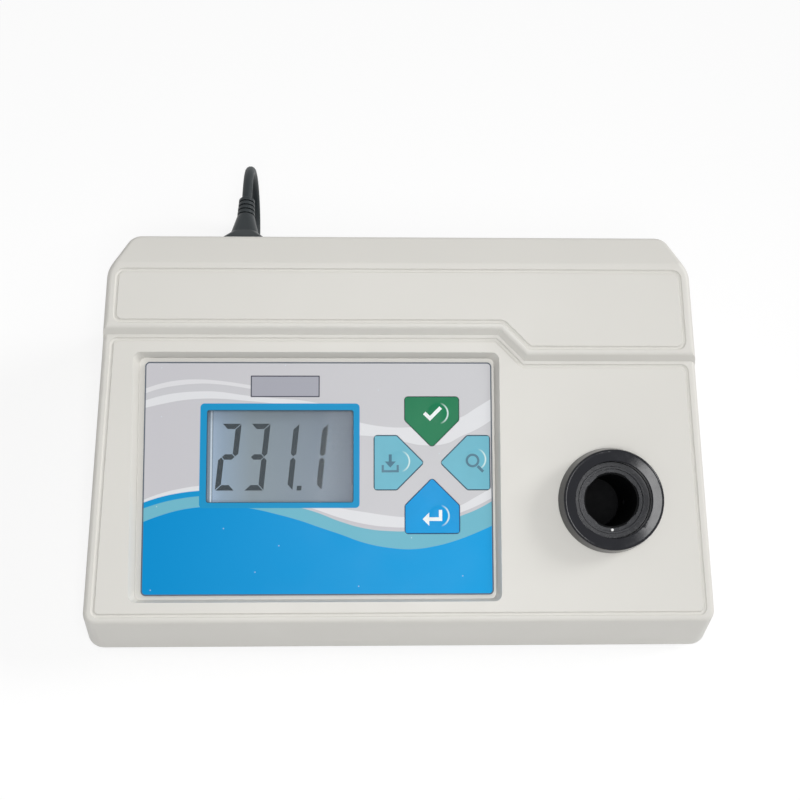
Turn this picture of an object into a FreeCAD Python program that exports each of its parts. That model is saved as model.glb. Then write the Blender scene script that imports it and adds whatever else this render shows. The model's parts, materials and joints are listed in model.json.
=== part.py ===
import FreeCAD, Part

import os
from math import acos, cos, pi, radians, sin, sqrt, tan

from FreeCAD import Vector

# Bench analyser with a sloped control face. Millimetres.
# The origin is at the middle of the footprint, on the surface that the feet stand on.
# +X is to the user's right, +Y to the rear and +Z up.

# Housing
FOOT_HEIGHT = 6.0
LIP_HEIGHT = 38.0
SLOPE = 22.0
WALL = 2.8
SIDE_DRAFT = 0.13
FRONT_LEAN = 1.0
FRONT_CORNER_BASE = 10.0
FRONT_CORNER_LIP = 6.0
TOP_DEPTH = 17.08
REAR_WALL_HEIGHT = 79.5
REAR_SETBACK = 17.7
REAR_CORNER = 8.0
SIDE_CORNER = 22.0
LOW_CORNER_CUT = 10.0
TOP_CORNER_CUT_X = 12.2
TOP_CORNER_CUT_Y = 23.1
RIM_ROUND = 3.0
RIDGE_ROUND = 3.4

# Across the control face at the base of the housing, from left to right
RECESS_EDGE = 28.45
WINDOW_INSET = 39.6
WINDOW_WIDTH = 77.3
WINDOW_TO_KEYS = 11.3
KEY_REACH = 30.9
KEY_MARGIN = 5.4
WELL_SPACING = 58.3
WELL_EDGE = 59.35

# Up the control face, from its front edge
RECESS_FRONT = 10.5
RECESS_LENGTH = 132.1
RECESS_TO_STEP = 6.8
UPPER_FACE_LENGTH = 41.16

# Step across the control face. The front lines are measured up the slope.
STEP_HEIGHT = 3.9
STEP_SLANT = 0.92
JOG_LENGTH = 14.1
JOG_SPACING = 5.4
STEP_FOOT_OFFSET = 2.6

# Groove lines
GROOVE_RADIUS = 1.15
GROOVE_SINK = 0.85
LOWER_GROOVE_INSET = 5.0
LOWER_GROOVE_FRONT = 3.9
LOWER_GROOVE_CORNER = 3.0
UPPER_GROOVE_INSET = 5.6
UPPER_GROOVE_OFFSET = 9.3
UPPER_GROOVE_CORNER = 4.0
RIDGE_TO_GROOVE = 4.3

# Keypad recess and the sheets in it
RECESS_RUN = 2.6
RECESS_CORNER = 4.0
OVERLAY_SINK = 3.0
OVERLAY_THICKNESS = 1.1
CIRCUIT_THICKNESS = 0.9
OVERLAY_INSET_LEFT = 6.0
OVERLAY_INSET_RIGHT = 4.0
OVERLAY_INSET_FRONT = 3.4
OVERLAY_INSET_REAR = 5.0
OVERLAY_CORNER = 2.5
KEY_PAD_W = 83.6
KEY_HALF_WIDTH = 14.5
KEY_CORNER = 1.8
KEY_GAP = 0.3
KEY_THICKNESS = 0.55
KEY_PROUD = 0.1
KEY_TIPS = {"top": 8.2, "left": 4.3, "right": 4.3, "bottom": 8.2}
KEY_ENDS = {"top": 35.3, "left": KEY_REACH, "right": KEY_REACH, "bottom": 37.6}
KEY_TURNS = {"top": 0.0, "left": 90.0, "bottom": 180.0, "right": 270.0}
EMBOSS_RADIUS = 6.0
EMBOSS_HEIGHT = 0.45
EMBOSS_SPOTS = {"top": (3.0, 26.4), "left": (-17.7, 0.7), "right": (23.0, 1.8), "bottom": (3.2, -28.2)}
DOME_RADIUS = 5.5
DOME_POCKET_RADIUS = 6.3
DOME_HEIGHT = 0.55
DOME_THICKNESS = 0.15
TAIL_WIDTH = 16.0
TAIL_THICKNESS = 0.3
TAIL_X = -10.0
TAIL_W = 30.0

# Display
WINDOW_FRONT = 62.8
WINDOW_REAR = 111.4
WINDOW_CORNER = 1.2
WINDOW_LEDGE = 2.0
PANE_GAP = 0.15
LCD_MARGIN = 3.0
LCD_GAP = 0.2
LCD_THICKNESS = 2.8
BACKLIGHT_THICKNESS = 3.2
BEZEL_WALL = 1.6

# Main board, parallel to the control face
BOARD_THICKNESS = 1.6
BOARD_INSET_LEFT = 12.3
BOARD_INSET_RIGHT = 8.1
BOARD_INSET_FRONT = 13.5
BOARD_INSET_REAR = 10.6
BOARD_HOLE_INSET = 6.0
HEADER_LENGTH = 18.0
HEADER_WIDTH = 7.0
HEADER_HEIGHT = 8.0
HEADER_WALL = 1.0
HEADER_INSET_X = 7.0
HEADER_INSET_W = 10.0
POST_RADIUS = 3.6
SCREW_RADIUS = 1.5
SCREW_HEAD_RADIUS = 2.9
SCREW_HEAD_HEIGHT = 1.9
SCREW_LENGTH = 6.5
SCREW_GAP = 0.1

# Sample well
WELL_W = 63.3
COLLAR_BASE_RADIUS = 28.0
COLLAR_TOP_RADIUS = 26.3
COLLAR_HEIGHT = 10.9
COLLAR_MOUTH_RADIUS = 20.2
COLLAR_DISH = 1.0
COLLAR_SPIGOT_RADIUS = 24.3
COLLAR_SPIGOT_DEPTH = 9.0
COLLAR_NUT_RADIUS = 30.0
COLLAR_NUT_HEIGHT = 5.0
FIT_GAP = 0.2
BOTTLE_RADIUS = 13.8
CHAMBER_WALL = 4.2
CHAMBER_DEPTH = 48.0
CHAMBER_FLOOR = 2.5
CHAMBER_FLANGE = 3.0
CHAMBER_TOP = 2.4
GUIDE_MOUTH_RADIUS = 14.7
GUIDE_TOOTH_RADIUS = 14.05
GUIDE_THICKNESS = 2.0
GUIDE_LEDGE_DROP = 0.8
GUIDE_LIP_RADIUS = 16.6
GUIDE_LIP_WIDTH = 1.0
GUIDE_LIP_HEIGHT = 0.5
GUIDE_TEETH = 4
GUIDE_TOOTH_WIDTH = 6.5
MARK_RADIUS = 0.7
MARK_DISTANCE = 15.65
MARK_DEPTH = 0.5

# Optics round the sample chamber
BLOCK_WIDTH = 60.0
BLOCK_DEPTH = 42.0
BLOCK_TOP = -14.0
BLOCK_BOTTOM = -44.0
BLOCK_FLANGE_WIDTH = 84.0
BLOCK_FLANGE_THICKNESS = 4.0
BLOCK_SCREW_X = 36.0
BLOCK_SCREW_W = 14.0
BEAM_DEPTH = -30.0
BEAM_RADIUS = 3.0
LAMP_BORE_RADIUS = 4.6
LAMP_RADIUS = 2.5

# Base tray
TRAY_THICKNESS = 2.5
TRAY_GAP = 0.4
TRAY_RIM_HEIGHT = 7.0
TRAY_RIM_WALL = 2.0
PILLAR_INSET_X = 27.75
PILLAR_INSET_Y = 25.0
PILLAR_RADIUS = 6.0
PILLAR_JOINT_HEIGHT = 16.0
COVER_SCREW_RADIUS = 2.0
COVER_SCREW_HEAD_RADIUS = 3.8
COVER_SCREW_LENGTH = 22.0
FOOT_RADIUS = 9.0
FOOT_INSET_X = 48.75
FOOT_INSET_Y = 28.0
FOOT_SCREW_LENGTH = 7.0
VENT_LENGTH = 32.0
VENT_WIDTH = 2.4
VENT_PITCH = 6.0
VENT_COUNT = 7

# Rear wall
LEAD_EDGE = 80.55
LEAD_HEIGHT = 66.0
INLET_WIDTH = 50.0
INLET_HEIGHT = 24.0
INLET_FLANGE = 3.0
INLET_BODY_WIDTH = 29.0
INLET_BODY_HEIGHT = 21.0
INLET_BODY_DEPTH = 19.0
SOCKET_WIDTH = 24.8
SOCKET_HEIGHT = 16.8
SOCKET_DEPTH = 16.0
INLET_SCREW_X = 20.0
PIN_WIDTH = 4.0
PIN_THICKNESS = 2.0
PIN_PITCH = 7.0
PIN_LENGTH = 14.0
LEAD_TO_SWITCH = 52.2
SWITCH_WIDTH = 15.0
SWITCH_HEIGHT = 21.0
SWITCH_BEZEL = 2.0
SWITCH_DEPTH = 15.0
ROCKER_WIDTH = 10.0
ROCKER_HEIGHT = 16.0
ROCKER_TILT = 8.0
ROCKER_PIN_RADIUS = 1.3
RUNNING_GAP = 0.06
MOVING_GAP = 0.35
SWITCH_TO_FUSE = 42.0
FUSE_FLANGE_RADIUS = 9.0
FUSE_FLANGE = 2.0
FUSE_BODY_RADIUS = 7.0
FUSE_BODY_DEPTH = 30.0
FUSE_CAP_RADIUS = 6.6
FUSE_CAP_REACH = 8.0
FUSE_LINK_RADIUS = 2.5
FUSE_LINK_LENGTH = 20.0

# Power supply on the base tray
CORE_TO_WELL = 27.4
CORE_TO_REAR = 48.5
CORE_WIDTH = 48.0
CORE_DEPTH = 40.0
CORE_STACK = 18.0
CORE_LEG = 8.0
COIL_GAP = 0.4
COIL_BULGE = 9.0
SUPPLY_TO_CORE = 104.0
SUPPLY_TO_REAR = 52.5
SUPPLY_LENGTH = 96.0
SUPPLY_DEPTH = 60.0
STANDOFF_HEIGHT = 6.0
CAN_RADIUS = 8.0
CAN_HEIGHT = 22.0
CAN_PITCH = 20.0

# Power lead
CORD_DIAMETER = 6.0
LEAD_ROUTE = [(-90.2, 147.5, 66.0), (-90.2, 165.7, 66.0), (-90.2, 182.1, 54.1), (-90.2, 188.3, 34.9),
              (-90.2, 182.1, 15.7), (-90.2, 165.7, 3.8), (-90.2, 130.7, 3.8), (-81.4, 115.3, 3.8),
              (-66.0, 106.5, 3.8), (-50.0, 106.5, 3.8)]
CONNECTOR_WIDTH = 26.0
CONNECTOR_HEIGHT = 20.0
CONNECTOR_REACH = 44.0
CONNECTOR_SHOULDER = 11.0
CONNECTOR_NECK = 17.5
CONNECTOR_NECK_WIDTH = 16.5
RELIEF_RADIUS = 5.2
RELIEF_LENGTH = 12.5
RELIEF_RIBS = 4
HANK_Y = 106.5
HANK_LEFT = -50.0
HANK_RUN = 118.0
HANK_INNER_RADIUS = 18.0
TIE_THICKNESS = 0.8
TIE_WIDTH = 12.0
PLUG_START = 97.0
PLUG_Y = 113.5
PLUG_RELIEF = 14.0
PLUG_LENGTH = 34.0
PLUG_WIDTH = 24.0
PLUG_HEIGHT = 24.0
PLUG_PIN_LENGTH = 16.0

# Places that follow from the sizes above
SIN, COS = sin(radians(SLOPE)), cos(radians(SLOPE))
BASE_WIDTH = (RECESS_EDGE + WINDOW_INSET + WINDOW_WIDTH + WINDOW_TO_KEYS + 2 * KEY_REACH + KEY_MARGIN
              + WELL_SPACING + WELL_EDGE)
RECESS_REAR = RECESS_FRONT + RECESS_LENGTH
STEP_FRONT_LEFT = RECESS_REAR + RECESS_TO_STEP
STEP_FRONT_RIGHT = STEP_FRONT_LEFT - JOG_LENGTH
RIDGE_W = STEP_FRONT_LEFT + UPPER_FACE_LENGTH
BODY_HEIGHT = LIP_HEIGHT + RIDGE_W * SIN + STEP_HEIGHT * COS
BODY_DEPTH = FRONT_LEAN + RIDGE_W * COS - STEP_HEIGHT * SIN + TOP_DEPTH + REAR_SETBACK
REAR_REACH = FUSE_FLANGE + FUSE_CAP_REACH
FRONT_Y = -(BODY_DEPTH + REAR_REACH) / 2
REAR_Y = FRONT_Y + BODY_DEPTH
COVER_BOTTOM = FOOT_HEIGHT
TOP_Z = COVER_BOTTOM + BODY_HEIGHT
KINK_Z = COVER_BOTTOM + REAR_WALL_HEIGHT
PANEL_Y = FRONT_Y + FRONT_LEAN
PANEL_Z = COVER_BOTTOM + LIP_HEIGHT
UP_SLOPE = Vector(0, COS, SIN)
NORMAL = Vector(0, -SIN, COS)
REACH = 700.0
TOUCH = 0.01
RECESS_LEFT = RECESS_EDGE - BASE_WIDTH / 2
WINDOW_LEFT = RECESS_LEFT + WINDOW_INSET
WINDOW_RIGHT = WINDOW_LEFT + WINDOW_WIDTH
KEY_PAD_X = WINDOW_RIGHT + WINDOW_TO_KEYS + KEY_REACH
RECESS_RIGHT = KEY_PAD_X + KEY_REACH + KEY_MARGIN
JOG_X = RECESS_RIGHT + JOG_SPACING
WELL_X = RECESS_RIGHT + WELL_SPACING
OVERLAY_LEFT = RECESS_LEFT + OVERLAY_INSET_LEFT
OVERLAY_RIGHT = RECESS_RIGHT - OVERLAY_INSET_RIGHT
OVERLAY_FRONT = RECESS_FRONT + OVERLAY_INSET_FRONT
OVERLAY_REAR = RECESS_REAR - OVERLAY_INSET_REAR
BOARD_LEFT = RECESS_LEFT + BOARD_INSET_LEFT
BOARD_RIGHT = RECESS_RIGHT - BOARD_INSET_RIGHT
BOARD_FRONT = RECESS_FRONT + BOARD_INSET_FRONT
BOARD_REAR = RECESS_REAR - BOARD_INSET_REAR
PILLAR_X = BASE_WIDTH / 2 - PILLAR_INSET_X
FOOT_X = BASE_WIDTH / 2 - FOOT_INSET_X
LEAD_X = LEAD_EDGE - BASE_WIDTH / 2
SWITCH_X = LEAD_X + LEAD_TO_SWITCH
FUSE_X = SWITCH_X + SWITCH_TO_FUSE
CORE_X, CORE_Y = WELL_X - CORE_TO_WELL, REAR_Y - CORE_TO_REAR
SUPPLY_X, SUPPLY_Y = CORE_X - SUPPLY_TO_CORE, REAR_Y - SUPPLY_TO_REAR
RECESS_FLOOR = -(OVERLAY_SINK + OVERLAY_THICKNESS + CIRCUIT_THICKNESS)
CIRCUIT_TOP = RECESS_FLOOR + CIRCUIT_THICKNESS
PAN_BOTTOM = RECESS_FLOOR - WALL
BOARD_TOP = PAN_BOTTOM - LCD_GAP - LCD_THICKNESS - BACKLIGHT_THICKNESS
BOARD_BOTTOM = BOARD_TOP - BOARD_THICKNESS
TRAY_TOP = COVER_BOTTOM + TRAY_THICKNESS
CHAMBER_RADIUS = BOTTLE_RADIUS + CHAMBER_WALL
SHOULDER = CHAMBER_TOP - CHAMBER_FLANGE


# General helpers

def outline(points, radii, level=0.0):
    """Closed wire through the points, each corner rounded by its radius."""
    count = len(points)
    if isinstance(radii, (int, float)):
        radii = [radii] * count
    corners = []
    for i, radius in enumerate(radii):
        here = Vector(points[i][0], points[i][1], level)
        before = Vector(points[i - 1][0], points[i - 1][1], level) - here
        after = Vector(points[(i + 1) % count][0], points[(i + 1) % count][1], level) - here
        before.normalize()
        after.normalize()
        half = acos(max(-1.0, min(1.0, before.dot(after)))) / 2
        inwards = before + after
        inwards.normalize()
        centre = here + inwards * (radius / sin(half))
        reach = radius / tan(half)
        corners.append((here + before * reach, centre - inwards * radius, here + after * reach, radius))
    edges = []
    for i, (start, middle, end, radius) in enumerate(corners):
        if radius > 0:
            edges.append(Part.Arc(start, middle, end).toShape())
        edges.append(Part.LineSegment(end, corners[(i + 1) % count][0]).toShape())
    return Part.Wire(edges)


def box_points(left, front, right, rear):
    return [(left, front), (right, front), (right, rear), (left, rear)]


def plate(points, radii, low, high):
    """Flat plate with a rounded outline, from level low to level high."""
    return Part.Face(outline(points, radii, low)).extrude(Vector(0, 0, high - low))


def block(left, front, right, rear, low, high, radius=0.0):
    return plate(box_points(left, front, right, rear), radius, low, high)


def rod(x, y, low, high, radius):
    return Part.makeCylinder(radius, high - low, Vector(x, y, low))


def turned(points, radii=0.0):
    """Solid of revolution about Z from a profile of (radius, level) points."""
    profile = Part.Face(outline(points, radii))
    profile.rotate(Vector(0, 0, 0), Vector(1, 0, 0), 90)
    return profile.revolve(Vector(0, 0, 0), Vector(0, 0, 1), 360)


def loft(wires):
    return Part.makeLoft(wires, True, True)


def moved(shape, x, y, z):
    copy = shape.copy()
    copy.translate(Vector(x, y, z))
    return copy


def beyond(point, direction):
    """Everything on the far side of a plane."""
    return Part.makeCylinder(REACH, REACH, point, direction)


def joined(shapes):
    shapes = list(shapes)
    return shapes[0].multiFuse(shapes[1:]).removeSplitter() if len(shapes) > 1 else shapes[0]


def group(shapes):
    """Separate solids kept in one node."""
    return Part.makeCompound(list(shapes))


def rounded(shape, radius, chosen):
    """Fillet the edges that the test chooses."""
    edges = [edge for edge in shape.Edges if chosen(edge)]
    return shape.makeFillet(radius, edges)


def ends_match(edge, test):
    return all(test(vertex.Point) for vertex in edge.Vertexes)


def on_panel(shape, x=0.0, w=0.0):
    """Place a shape drawn flat (x, up the slope, off the face) on the control face."""
    copy = moved(shape, x, w, 0)
    copy.rotate(Vector(0, 0, 0), Vector(1, 0, 0), SLOPE)
    copy.translate(Vector(0, PANEL_Y, PANEL_Z))
    return copy


def on_rear(shape, x, z):
    """Place a shape drawn flat, with its Z pointing out, on the rear wall."""
    copy = shape.copy()
    copy.rotate(Vector(0, 0, 0), Vector(0, 1, 1), 180)
    copy.translate(Vector(x, REAR_Y, z))
    return copy


def panel_point(w, height):
    return Vector(0, PANEL_Y, PANEL_Z) + UP_SLOPE * w + NORMAL * height


def height_off_panel(point):
    return (point - panel_point(0, 0)).dot(NORMAL)


def up_panel(point):
    return (point - panel_point(0, 0)).dot(UP_SLOPE)


def screw(radius, length, head_radius, head_height):
    """Pan-head screw pointing down -Z, with the underside of its head at level 0."""
    head = turned([(0, 0), (head_radius, 0), (head_radius, head_height), (0, head_height)],
                  [0, 0, head_height * 0.6, 0])
    slot = block(-head_radius, -0.4, head_radius, 0.4, head_height * 0.55, head_height * 2)
    shank = turned([(0, -length), (radius * 0.4, -length), (radius, -length + radius), (radius, 0), (0, 0)])
    return joined([head.cut(slot), shank])


# Housing outline

def side_x(z):
    """Half the housing's width at a height on its leaning side walls."""
    return BASE_WIDTH / 2 - SIDE_DRAFT * (z - COVER_BOTTOM)


def panel_side_x(w, height):
    return side_x(panel_point(w, height).z)


def plan_outline(z, inset):
    """Horizontal section of the housing at height z, moved inwards by the inset."""
    share = max(0.0, (z - KINK_Z) / (TOP_Z - KINK_Z))
    front = FRONT_Y + FRONT_LEAN * (z - COVER_BOTTOM) / LIP_HEIGHT + inset
    rear = REAR_Y - REAR_SETBACK * share - inset
    cut_x = LOW_CORNER_CUT + (TOP_CORNER_CUT_X - LOW_CORNER_CUT) * share
    cut_y = LOW_CORNER_CUT + (TOP_CORNER_CUT_Y - LOW_CORNER_CUT) * share
    side = side_x(z) - inset
    points = [(-side, front), (side, front), (side, rear - cut_y), (side - cut_x, rear),
              (cut_x - side, rear), (-side, rear - cut_y)]
    round_front = FRONT_CORNER_BASE - (FRONT_CORNER_BASE - FRONT_CORNER_LIP) * (z - COVER_BOTTOM) / LIP_HEIGHT
    radii = [round_front, round_front, SIDE_CORNER, REAR_CORNER, REAR_CORNER, SIDE_CORNER]
    return outline(points, [max(1.0, radius - inset) for radius in radii], z)


def housing_form(inset, bottom):
    """Housing with no control face yet, as a stack of tapering sections."""
    levels = [bottom, KINK_Z, TOP_Z - inset]
    return loft([plan_outline(z, inset) for z in levels])


def step_points(offset):
    """The jogged line across the face, moved up the slope by an offset, closed round the front."""
    left, right = STEP_FRONT_LEFT + offset, STEP_FRONT_RIGHT + offset
    jog_sum = JOG_X + (STEP_FRONT_LEFT + STEP_FRONT_RIGHT) / 2 + offset * sqrt(2)
    return left, right, jog_sum - left, jog_sum - right


def in_front_of_step(offset):
    """Everything in front of the slanting step wall, as blocks bounded by flat faces."""
    left, right, jog_left, jog_right = step_points(offset)
    left_end = panel_point(left, 0) + Vector(jog_left, 0, 0)
    right_end = panel_point(right, 0) + Vector(jog_right, 0, 0)
    blocks = []
    for slant in (0.0, STEP_SLANT):
        lean = NORMAL * slant
        blocks.append(beyond(right_end, lean - UP_SLOPE))
        diagonal = beyond(right_end, lean * sqrt(2) - UP_SLOPE - Vector(1, 0, 0))
        blocks.append(beyond(left_end, lean - UP_SLOPE).common(diagonal))
    return blocks


def stepped_form(inset, bottom, step_offset):
    """Housing cut by both control faces and by the step between them."""
    form = housing_form(inset, bottom).cut(beyond(panel_point(0, STEP_HEIGHT - inset), NORMAL))
    above_low_face = beyond(panel_point(0, -inset), NORMAL)
    for tool in in_front_of_step(step_offset):
        form = form.cut(tool.common(above_low_face))
    return form


def outer_form():
    """Outside of the cover with its rims, ridge and step rounded."""
    form = stepped_form(0.0, COVER_BOTTOM, STEP_FOOT_OFFSET)
    def on_low_face(point):
        return abs(height_off_panel(point)) < TOUCH
    def on_high_faces(point):
        return abs(height_off_panel(point) - STEP_HEIGHT) < TOUCH or abs(point.z - TOP_Z) < TOUCH
    def off_step(edge):
        return abs(edge.CenterOfMass.x) > 0.4 * BASE_WIDTH or up_panel(edge.CenterOfMass) < RECESS_FRONT
    form = rounded(form, RIM_ROUND, lambda edge: ends_match(edge, on_low_face) and off_step(edge))
    return rounded(form, RIDGE_ROUND, lambda edge: ends_match(edge, on_high_faces))


def cavity():
    """Inside of the cover, open at the bottom, with its own step under the outer one."""
    step_shift = STEP_FOOT_OFFSET + STEP_HEIGHT * STEP_SLANT + WALL
    return stepped_form(WALL, COVER_BOTTOM - WALL, step_shift)


def groove(points, corner, level):
    """Shallow round-bottomed groove along a closed line on the face."""
    path = outline(points, corner, level - GROOVE_SINK + GROOVE_RADIUS)
    start = path.Edges[0].valueAt(path.Edges[0].FirstParameter)
    direction = path.Edges[0].tangentAt(path.Edges[0].FirstParameter)
    ring = Part.Wire([Part.Circle(start, direction, GROOVE_RADIUS).toShape()])
    return on_panel(path.makePipeShell([ring], True, True))


def lower_groove():
    left, right, jog_left, jog_right = step_points(0.0)
    def side(w):
        return panel_side_x(w, 0) - LOWER_GROOVE_INSET
    points = [(-side(LOWER_GROOVE_FRONT), LOWER_GROOVE_FRONT), (side(LOWER_GROOVE_FRONT), LOWER_GROOVE_FRONT),
              (side(right), right), (jog_right, right), (jog_left, left), (-side(left), left)]
    return groove(points, LOWER_GROOVE_CORNER, 0.0)


def upper_groove():
    left, right, jog_left, jog_right = step_points(UPPER_GROOVE_OFFSET)
    rear = RIDGE_W - RIDGE_TO_GROOVE
    def side(w):
        return panel_side_x(w, STEP_HEIGHT) - UPPER_GROOVE_INSET
    points = [(-side(left), left), (jog_left, left), (jog_right, right), (side(right), right),
              (side(rear), rear), (-side(rear), rear)]
    return groove(points, UPPER_GROOVE_CORNER, STEP_HEIGHT)


def recess():
    """Pocket with sloping walls that the keypad lies in."""
    mouth = box_points(RECESS_LEFT, RECESS_FRONT, RECESS_RIGHT, RECESS_REAR)
    floor = box_points(RECESS_LEFT + RECESS_RUN, RECESS_FRONT + RECESS_RUN / 2,
                       RECESS_RIGHT - RECESS_RUN, RECESS_REAR - RECESS_RUN)
    above = 1.0
    pocket = loft([outline(floor, RECESS_CORNER - 1, RECESS_FLOOR), outline(mouth, RECESS_CORNER, 0.0)])
    lid = plate(mouth, RECESS_CORNER, 0.0, above)
    return on_panel(joined([pocket, lid]))


def recess_pan():
    """Thickness of the cover under the recess."""
    return on_panel(block(RECESS_LEFT - WALL, RECESS_FRONT - WALL, RECESS_RIGHT + WALL, RECESS_REAR + WALL,
                          PAN_BOTTOM, 0.0, RECESS_CORNER))


def board_screw_spots():
    xs = (BOARD_LEFT + BOARD_HOLE_INSET, BOARD_RIGHT - BOARD_HOLE_INSET)
    ws = (BOARD_FRONT + BOARD_HOLE_INSET, BOARD_REAR - BOARD_HOLE_INSET)
    return [(x, w) for x in xs for w in ws]


def block_screw_spots():
    return [(WELL_X + i * BLOCK_SCREW_X, WELL_W + j * BLOCK_SCREW_W) for i in (-1, 1) for j in (-1, 1)]


def pillar_spots():
    return [(i * PILLAR_X, y) for y in (FRONT_Y + PILLAR_INSET_Y, REAR_Y - PILLAR_INSET_Y) for i in (-1, 1)]


def foot_spots():
    return [(i * FOOT_X, y) for y in (FRONT_Y + FOOT_INSET_Y, REAR_Y - FOOT_INSET_Y) for i in (-1, 1)]


def inlet_opening():
    half_x, half_y = INLET_BODY_WIDTH / 2 + FIT_GAP, INLET_BODY_HEIGHT / 2 + FIT_GAP
    return on_rear(block(-half_x, -half_y, half_x, half_y, -3 * WALL, WALL, 2.0), LEAD_X, LEAD_HEIGHT)


def switch_opening():
    half_x, half_y = SWITCH_WIDTH / 2 - 1, SWITCH_HEIGHT / 2 - 1
    return on_rear(block(-half_x, -half_y, half_x, half_y, -3 * WALL, WALL, 0.5), SWITCH_X, LEAD_HEIGHT)


def rear_holes():
    holes = [inlet_opening(), switch_opening(),
             on_rear(rod(0, 0, -3 * WALL, WALL, FUSE_BODY_RADIUS + FIT_GAP), FUSE_X, LEAD_HEIGHT)]
    for side in (-1, 1):
        hole = rod(0, 0, -3 * WALL, WALL, SCREW_RADIUS + SCREW_GAP)
        holes.append(on_rear(hole, LEAD_X + side * INLET_SCREW_X, LEAD_HEIGHT))
    return holes


def upper_cover():
    """Moulded housing: sloped face with its step, grooves and recess, hollow underneath."""
    shell = outer_form()
    shell = shell.cut(cavity().cut(recess_pan()))
    posts, holes = [], []
    for x, w in board_screw_spots():
        posts.append(on_panel(rod(x, w, BOARD_TOP, PAN_BOTTOM + 1, POST_RADIUS)))
        holes.append(on_panel(rod(x, w, BOARD_TOP - 1, BOARD_TOP + SCREW_LENGTH - BOARD_THICKNESS + 0.5,
                                  SCREW_RADIUS + SCREW_GAP)))
    for x, w in block_screw_spots():
        posts.append(on_panel(rod(x, w, BLOCK_TOP, -WALL + 1, POST_RADIUS)))
        holes.append(on_panel(rod(x, w, BLOCK_TOP - 1, BLOCK_TOP + SCREW_LENGTH, SCREW_RADIUS + SCREW_GAP)))
    inside = stepped_form(WALL / 2, COVER_BOTTOM, STEP_FOOT_OFFSET + STEP_HEIGHT * STEP_SLANT)
    for x, y in pillar_spots():
        pillar = rod(x, y, PILLAR_JOINT_HEIGHT, TOP_Z, PILLAR_RADIUS)
        posts.append(pillar.common(inside))
        holes.append(rod(x, y, PILLAR_JOINT_HEIGHT - 1, COVER_BOTTOM + COVER_SCREW_LENGTH,
                         COVER_SCREW_RADIUS + SCREW_GAP))
    shell = shell.multiFuse(posts)
    cuts = holes + rear_holes() + [recess(), lower_groove(), upper_groove(), display_opening(), tail_slot()]
    cuts.append(on_panel(rod(WELL_X, WELL_W, -3 * WALL, WALL, COLLAR_SPIGOT_RADIUS + FIT_GAP)))
    for tool in cuts:
        shell = shell.cut(tool)
    return shell.removeSplitter()


# Base tray and feet

def tray_outline(inset, z):
    return plan_outline(z, WALL + TRAY_GAP + inset)


def vents():
    """Two rows of cooling slots under the power supply."""
    slots = []
    for side in (-1, 1):
        for i in range(VENT_COUNT):
            x = side * 50.0 + (i - (VENT_COUNT - 1) / 2) * VENT_PITCH
            y = FRONT_Y + 75.0
            slots.append(block(x - VENT_WIDTH / 2, y - VENT_LENGTH / 2, x + VENT_WIDTH / 2, y + VENT_LENGTH / 2,
                               COVER_BOTTOM - 1, TRAY_TOP + 1, VENT_WIDTH / 2 - 0.01))
    return slots


def supply_spots():
    dx, dy = SUPPLY_LENGTH / 2 - 5.0, SUPPLY_DEPTH / 2 - 5.0
    return [(SUPPLY_X + i * dx, SUPPLY_Y + j * dy) for i in (-1, 1) for j in (-1, 1)]


def core_screw_spots():
    return [(CORE_X + i * (CORE_WIDTH / 2 + 6.0), CORE_Y) for i in (-1, 1)]


def base_tray():
    """Bottom pan: flat floor with a low rim, screw pillars, standoffs, stiffening ribs and vents."""
    floor = loft([tray_outline(0.0, COVER_BOTTOM), tray_outline(0.0, TRAY_TOP)])
    rim_top = TRAY_TOP + TRAY_RIM_HEIGHT
    rim = loft([tray_outline(0.0, TRAY_TOP), tray_outline(0.0, rim_top)])
    rim = rim.cut(loft([tray_outline(TRAY_RIM_WALL, TRAY_TOP), tray_outline(TRAY_RIM_WALL, rim_top)]))
    solids = [floor, rim]
    solids += [rod(x, y, TRAY_TOP, PILLAR_JOINT_HEIGHT, PILLAR_RADIUS) for x, y in pillar_spots()]
    solids += [rod(x, y, TRAY_TOP, TRAY_TOP + STANDOFF_HEIGHT, POST_RADIUS) for x, y in supply_spots()]
    solids += [rod(x, y, TRAY_TOP, TRAY_TOP + FOOT_SCREW_LENGTH, POST_RADIUS + 1) for x, y in foot_spots()]
    solids += [rod(x, y, TRAY_TOP, TRAY_TOP + STANDOFF_HEIGHT, POST_RADIUS) for x, y in core_screw_spots()]
    for y in (FRONT_Y + 45.0, FRONT_Y + 105.0):
        solids.append(block(-FOOT_X, y - 1, FOOT_X, y + 1, TRAY_TOP, TRAY_TOP + 4.0))
    tray = joined(solids)
    head_room = COVER_SCREW_HEAD_RADIUS + 0.3
    cuts = []
    for x, y in pillar_spots():
        cuts.append(rod(x, y, COVER_BOTTOM - 1, COVER_BOTTOM + 4.0, head_room))
        cuts.append(rod(x, y, COVER_BOTTOM, PILLAR_JOINT_HEIGHT + 1, COVER_SCREW_RADIUS + SCREW_GAP))
    for x, y in foot_spots():
        cuts.append(rod(x, y, COVER_BOTTOM - 1, TRAY_TOP + FOOT_SCREW_LENGTH - 1, SCREW_RADIUS + SCREW_GAP))
    for x, y in supply_spots() + core_screw_spots():
        cuts.append(rod(x, y, TRAY_TOP + 0.5, TRAY_TOP + STANDOFF_HEIGHT + 1, SCREW_RADIUS + SCREW_GAP))
    for tool in cuts + vents():
        tray = tray.cut(tool)
    return tray


def cover_screws():
    body = screw(COVER_SCREW_RADIUS, COVER_SCREW_LENGTH - 5.0, COVER_SCREW_HEAD_RADIUS, 2.6)
    body.rotate(Vector(0, 0, 0), Vector(1, 0, 0), 180)
    return group(moved(body, x, y, COVER_BOTTOM + 4.0) for x, y in pillar_spots())


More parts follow.
